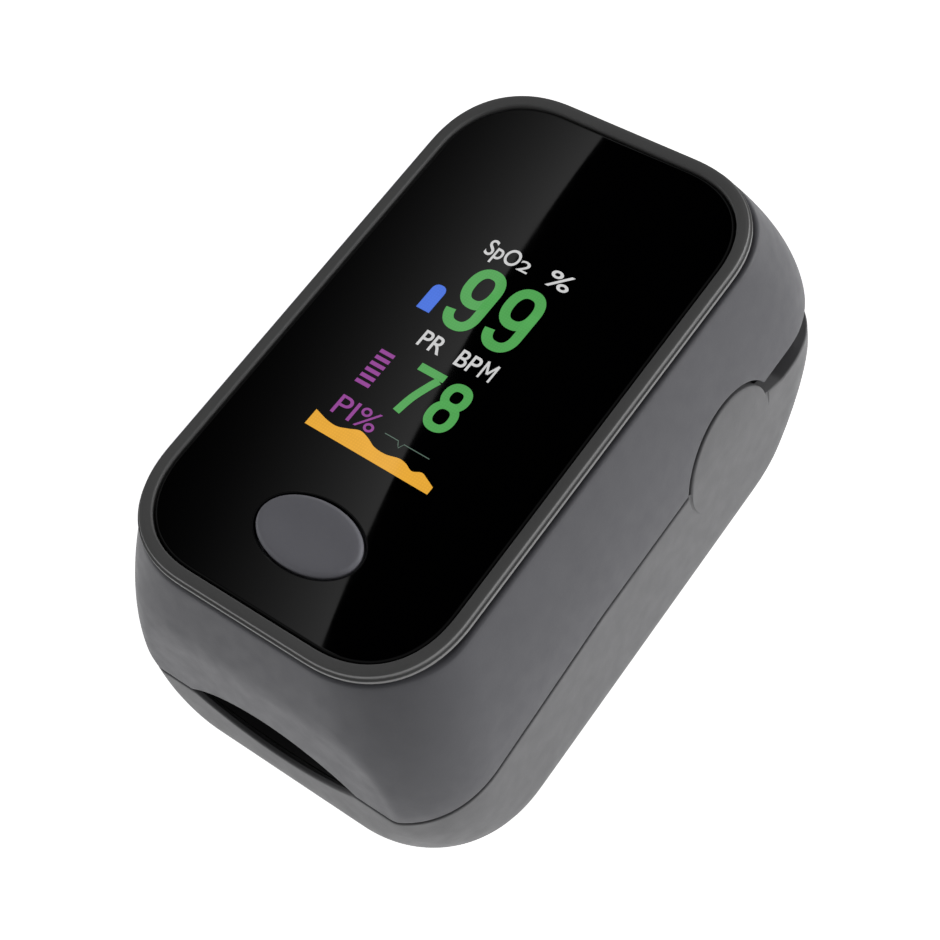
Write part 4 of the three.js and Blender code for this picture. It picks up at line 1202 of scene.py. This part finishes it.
for hand, word in ((1, "right"), (-1, "left")):
    spring = make_spring(f"spring_{word}", hand)
    dress(spring, MATERIALS["steel"])
    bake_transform(spring)
    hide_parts(f"torsion_spring_{word}")

ribbon = make_ribbon()
dress(ribbon, MATERIALS["ribbon_film"])
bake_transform(ribbon)
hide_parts("sensor_ribbon")

for film, light in make_readout():
    dress(film, READOUT_LIGHT[light])
    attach(film, "upper")

NODE_SLOTS = {
    "inner_plastic": ["upper_inner_frame", "lower_inner_frame", "display_frame"],
    "board": ["main_board", "emitter_board", "detector_board"],
    "black_plastic": ["switch_body", "switch_plunger", "processor_chip", "amplifier_chip", "ribbon_socket",
                      "photodiode", "boost_inductor"],
    "clear_resin": ["led_emitter", "emitter_window", "detector_window"],
    "contact_metal": ["front_contact_plate", "front_contact_leaf", "rear_contact_bridge"],
    "steel": ["clock_crystal", "cell_spring", "hinge_pin_right", "hinge_pin_left"],
    "cell_jacket": ["cell_right", "cell_left"],
    "display_glass": ["display_module"],
    "adhesive": ["lens_adhesive"],
    "ribbon_film": ["display_ribbon"],
}
NODE_SLOTS["steel"] += [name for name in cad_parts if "_screw_" in name]

for slot, names in NODE_SLOTS.items():
    for name in names:
        dress(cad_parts[name], MATERIALS[slot])

# ---------------------------------------------------------------- camera

CAMERA_AT = (71.562, -55.491, 155.756)
CAMERA_AIM = (7.608, -7.115, 31.0)
CAMERA_ROLL = math.radians(19.5145)
CAMERA_LENS = 72.34
SENSOR = 36.0


def make_camera():
    data = bpy.data.cameras.new("camera")
    data.lens = CAMERA_LENS
    data.sensor_width = SENSOR
    data.clip_start = 0.005
    camera = new_object("camera", data)
    forward = (Vector(CAMERA_AIM) - Vector(CAMERA_AT)).normalized()
    level = forward.cross(Vector((0, 0, 1))).normalized()
    up = math.cos(CAMERA_ROLL) * level.cross(forward) + math.sin(CAMERA_ROLL) * level
    right = forward.cross(up)
    axes = Matrix((right, up, -forward)).transposed()
    camera.matrix_world = Matrix.Translation(Vector(CAMERA_AT) * MM) @ axes.to_4x4()
    bpy.context.scene.camera = camera


# ---------------------------------------------------------------- studio

FLOOR_HALF = 3000.0
CARD_Z = 181.0
# The window mirrors the lit card as a soft diagonal band. The card's inner edge is an arc.
CARD_CENTRE = (296.0, 134.0)
CARD_RADIUS = 387.0
CARD_Y = (175.0, -30.0)
CARD_WIDTH = 70.0
CARD_GLOW = 0.66
CARD_FADE_POWER = 4.5
SHADE_X = (-175, -20)
SHADE_Y = (-40, 180)


def stage_material(name):
    material = bpy.data.materials.new(name)
    material.use_nodes = True
    return material, material.node_tree, material.node_tree.nodes["Principled BSDF"]


def make_floor():
    corners = [(-1, -1, 0), (1, -1, 0), (1, 1, 0), (-1, 1, 0)]
    mesh = new_mesh("floor", np.array(corners) * FLOOR_HALF, [(0, 1, 2, 3)])
    floor = new_object("floor", mesh)
    material, _, shader = stage_material("floor")
    shader.inputs["Base Color"].default_value = (0.8, 0.8, 0.8, 1)
    shader.inputs["Roughness"].default_value = 0.9
    shader.inputs["Specular IOR Level"].default_value = 0.1
    shader.inputs["Emission Color"].default_value = (1, 1, 1, 1)
    shader.inputs["Emission Strength"].default_value = 1.0
    mesh.materials.append(material)


def make_lit_card():
    """Card that glows along its inner edge and fades away from it."""
    ys = np.linspace(*CARD_Y, 41)
    edge = CARD_CENTRE[0] - np.sqrt(CARD_RADIUS ** 2 - (ys - CARD_CENTRE[1]) ** 2)
    steps = 8
    points = [(x - CARD_WIDTH * s / steps, y, CARD_Z) for x, y in zip(edge, ys) for s in range(steps + 1)]
    row = steps + 1
    faces = []
    for r in range(len(edge) - 1):
        for s in range(steps):
            a = r * row + s
            faces.append((a, a + 1, a + row + 1, a + row))
    mesh = new_mesh("lit_card", points, faces)
    fade = mesh.attributes.new("fade", "FLOAT", "POINT")
    fade.data.foreach_set("value", [1 - (i % row) / steps for i in range(len(points))])
    material, tree, shader = stage_material("lit_card")
    tree.nodes.remove(shader)
    emission = tree.nodes.new("ShaderNodeEmission")
    attribute = tree.nodes.new("ShaderNodeAttribute")
    attribute.attribute_name = "fade"
    power = tree.nodes.new("ShaderNodeMath")
    power.operation = "POWER"
    power.inputs[1].default_value = CARD_FADE_POWER
    gain = tree.nodes.new("ShaderNodeMath")
    gain.operation = "MULTIPLY"
    gain.inputs[1].default_value = CARD_GLOW
    tree.links.new(attribute.outputs["Fac"], power.inputs[0])
    tree.links.new(power.outputs[0], gain.inputs[0])
    tree.links.new(gain.outputs[0], emission.inputs["Strength"])
    tree.links.new(emission.outputs[0], tree.nodes["Material Output"].inputs["Surface"])
    mesh.materials.append(material)
    return new_object("lit_card", mesh)


def make_dark_card():
    """Black card over the lit one, so that the rest of the window mirrors darkness."""
    corners = [(SHADE_X[i], SHADE_Y[j], CARD_Z + 2) for i, j in ((0, 0), (1, 0), (1, 1), (0, 1))]
    mesh = new_mesh("dark_card", corners, [(0, 1, 2, 3)])
    material, _, shader = stage_material("dark_card")
    shader.inputs["Base Color"].default_value = (0.0, 0.0, 0.0, 1)
    shader.inputs["Specular IOR Level"].default_value = 0.0
    mesh.materials.append(material)
    return new_object("dark_card", mesh)


WORLD_ZENITH = 0.1
WORLD_HORIZON = 0.3
# Softboxes: place, size and power in watts. Each is aimed at the middle of the object.
SOFTBOXES = [
    ("left_box", (-310, -120, 60), 200, 0.15),
    ("rear_box", (260, 270, 50), 200, 0.65),
]


def make_world():
    world = bpy.data.worlds.new("studio")
    bpy.context.scene.world = world
    world.use_nodes = True
    tree = world.node_tree
    place_node = tree.nodes.new("ShaderNodeTexCoord")
    split = tree.nodes.new("ShaderNodeSeparateXYZ")
    level = tree.nodes.new("ShaderNodeMapRange")
    set_range(level, 0.0, 1.0, WORLD_HORIZON, WORLD_ZENITH)
    tree.links.new(place_node.outputs["Generated"], split.inputs[0])
    tree.links.new(split.outputs["Z"], level.inputs["Value"])
    seen = tree.nodes.new("ShaderNodeLightPath")
    pick = tree.nodes.new("ShaderNodeMix")
    pick.inputs["B"].default_value = 1.0
    tree.links.new(seen.outputs["Is Camera Ray"], pick.inputs["Factor"])
    tree.links.new(level.outputs["Result"], pick.inputs["A"])
    tree.links.new(pick.outputs["Result"], tree.nodes["Background"].inputs["Strength"])
    tree.nodes["Background"].inputs["Color"].default_value = (1, 1, 1, 1)


def make_softboxes():
    for name, spot, size, watts in SOFTBOXES:
        data = bpy.data.lights.new(name, "AREA")
        data.size = size * MM
        data.energy = watts
        lamp = new_object(name, data)
        lamp.location = Vector(spot) * MM
        aim = Vector((0, 0, 15)) * MM - lamp.location
        lamp.rotation_euler = aim.to_track_quat("-Z", "Y").to_euler()


make_camera()
make_floor()
lit_card = make_lit_card()
dark_card = make_dark_card()
make_world()
make_softboxes()
bpy.context.scene.view_settings.view_transform = "Standard"
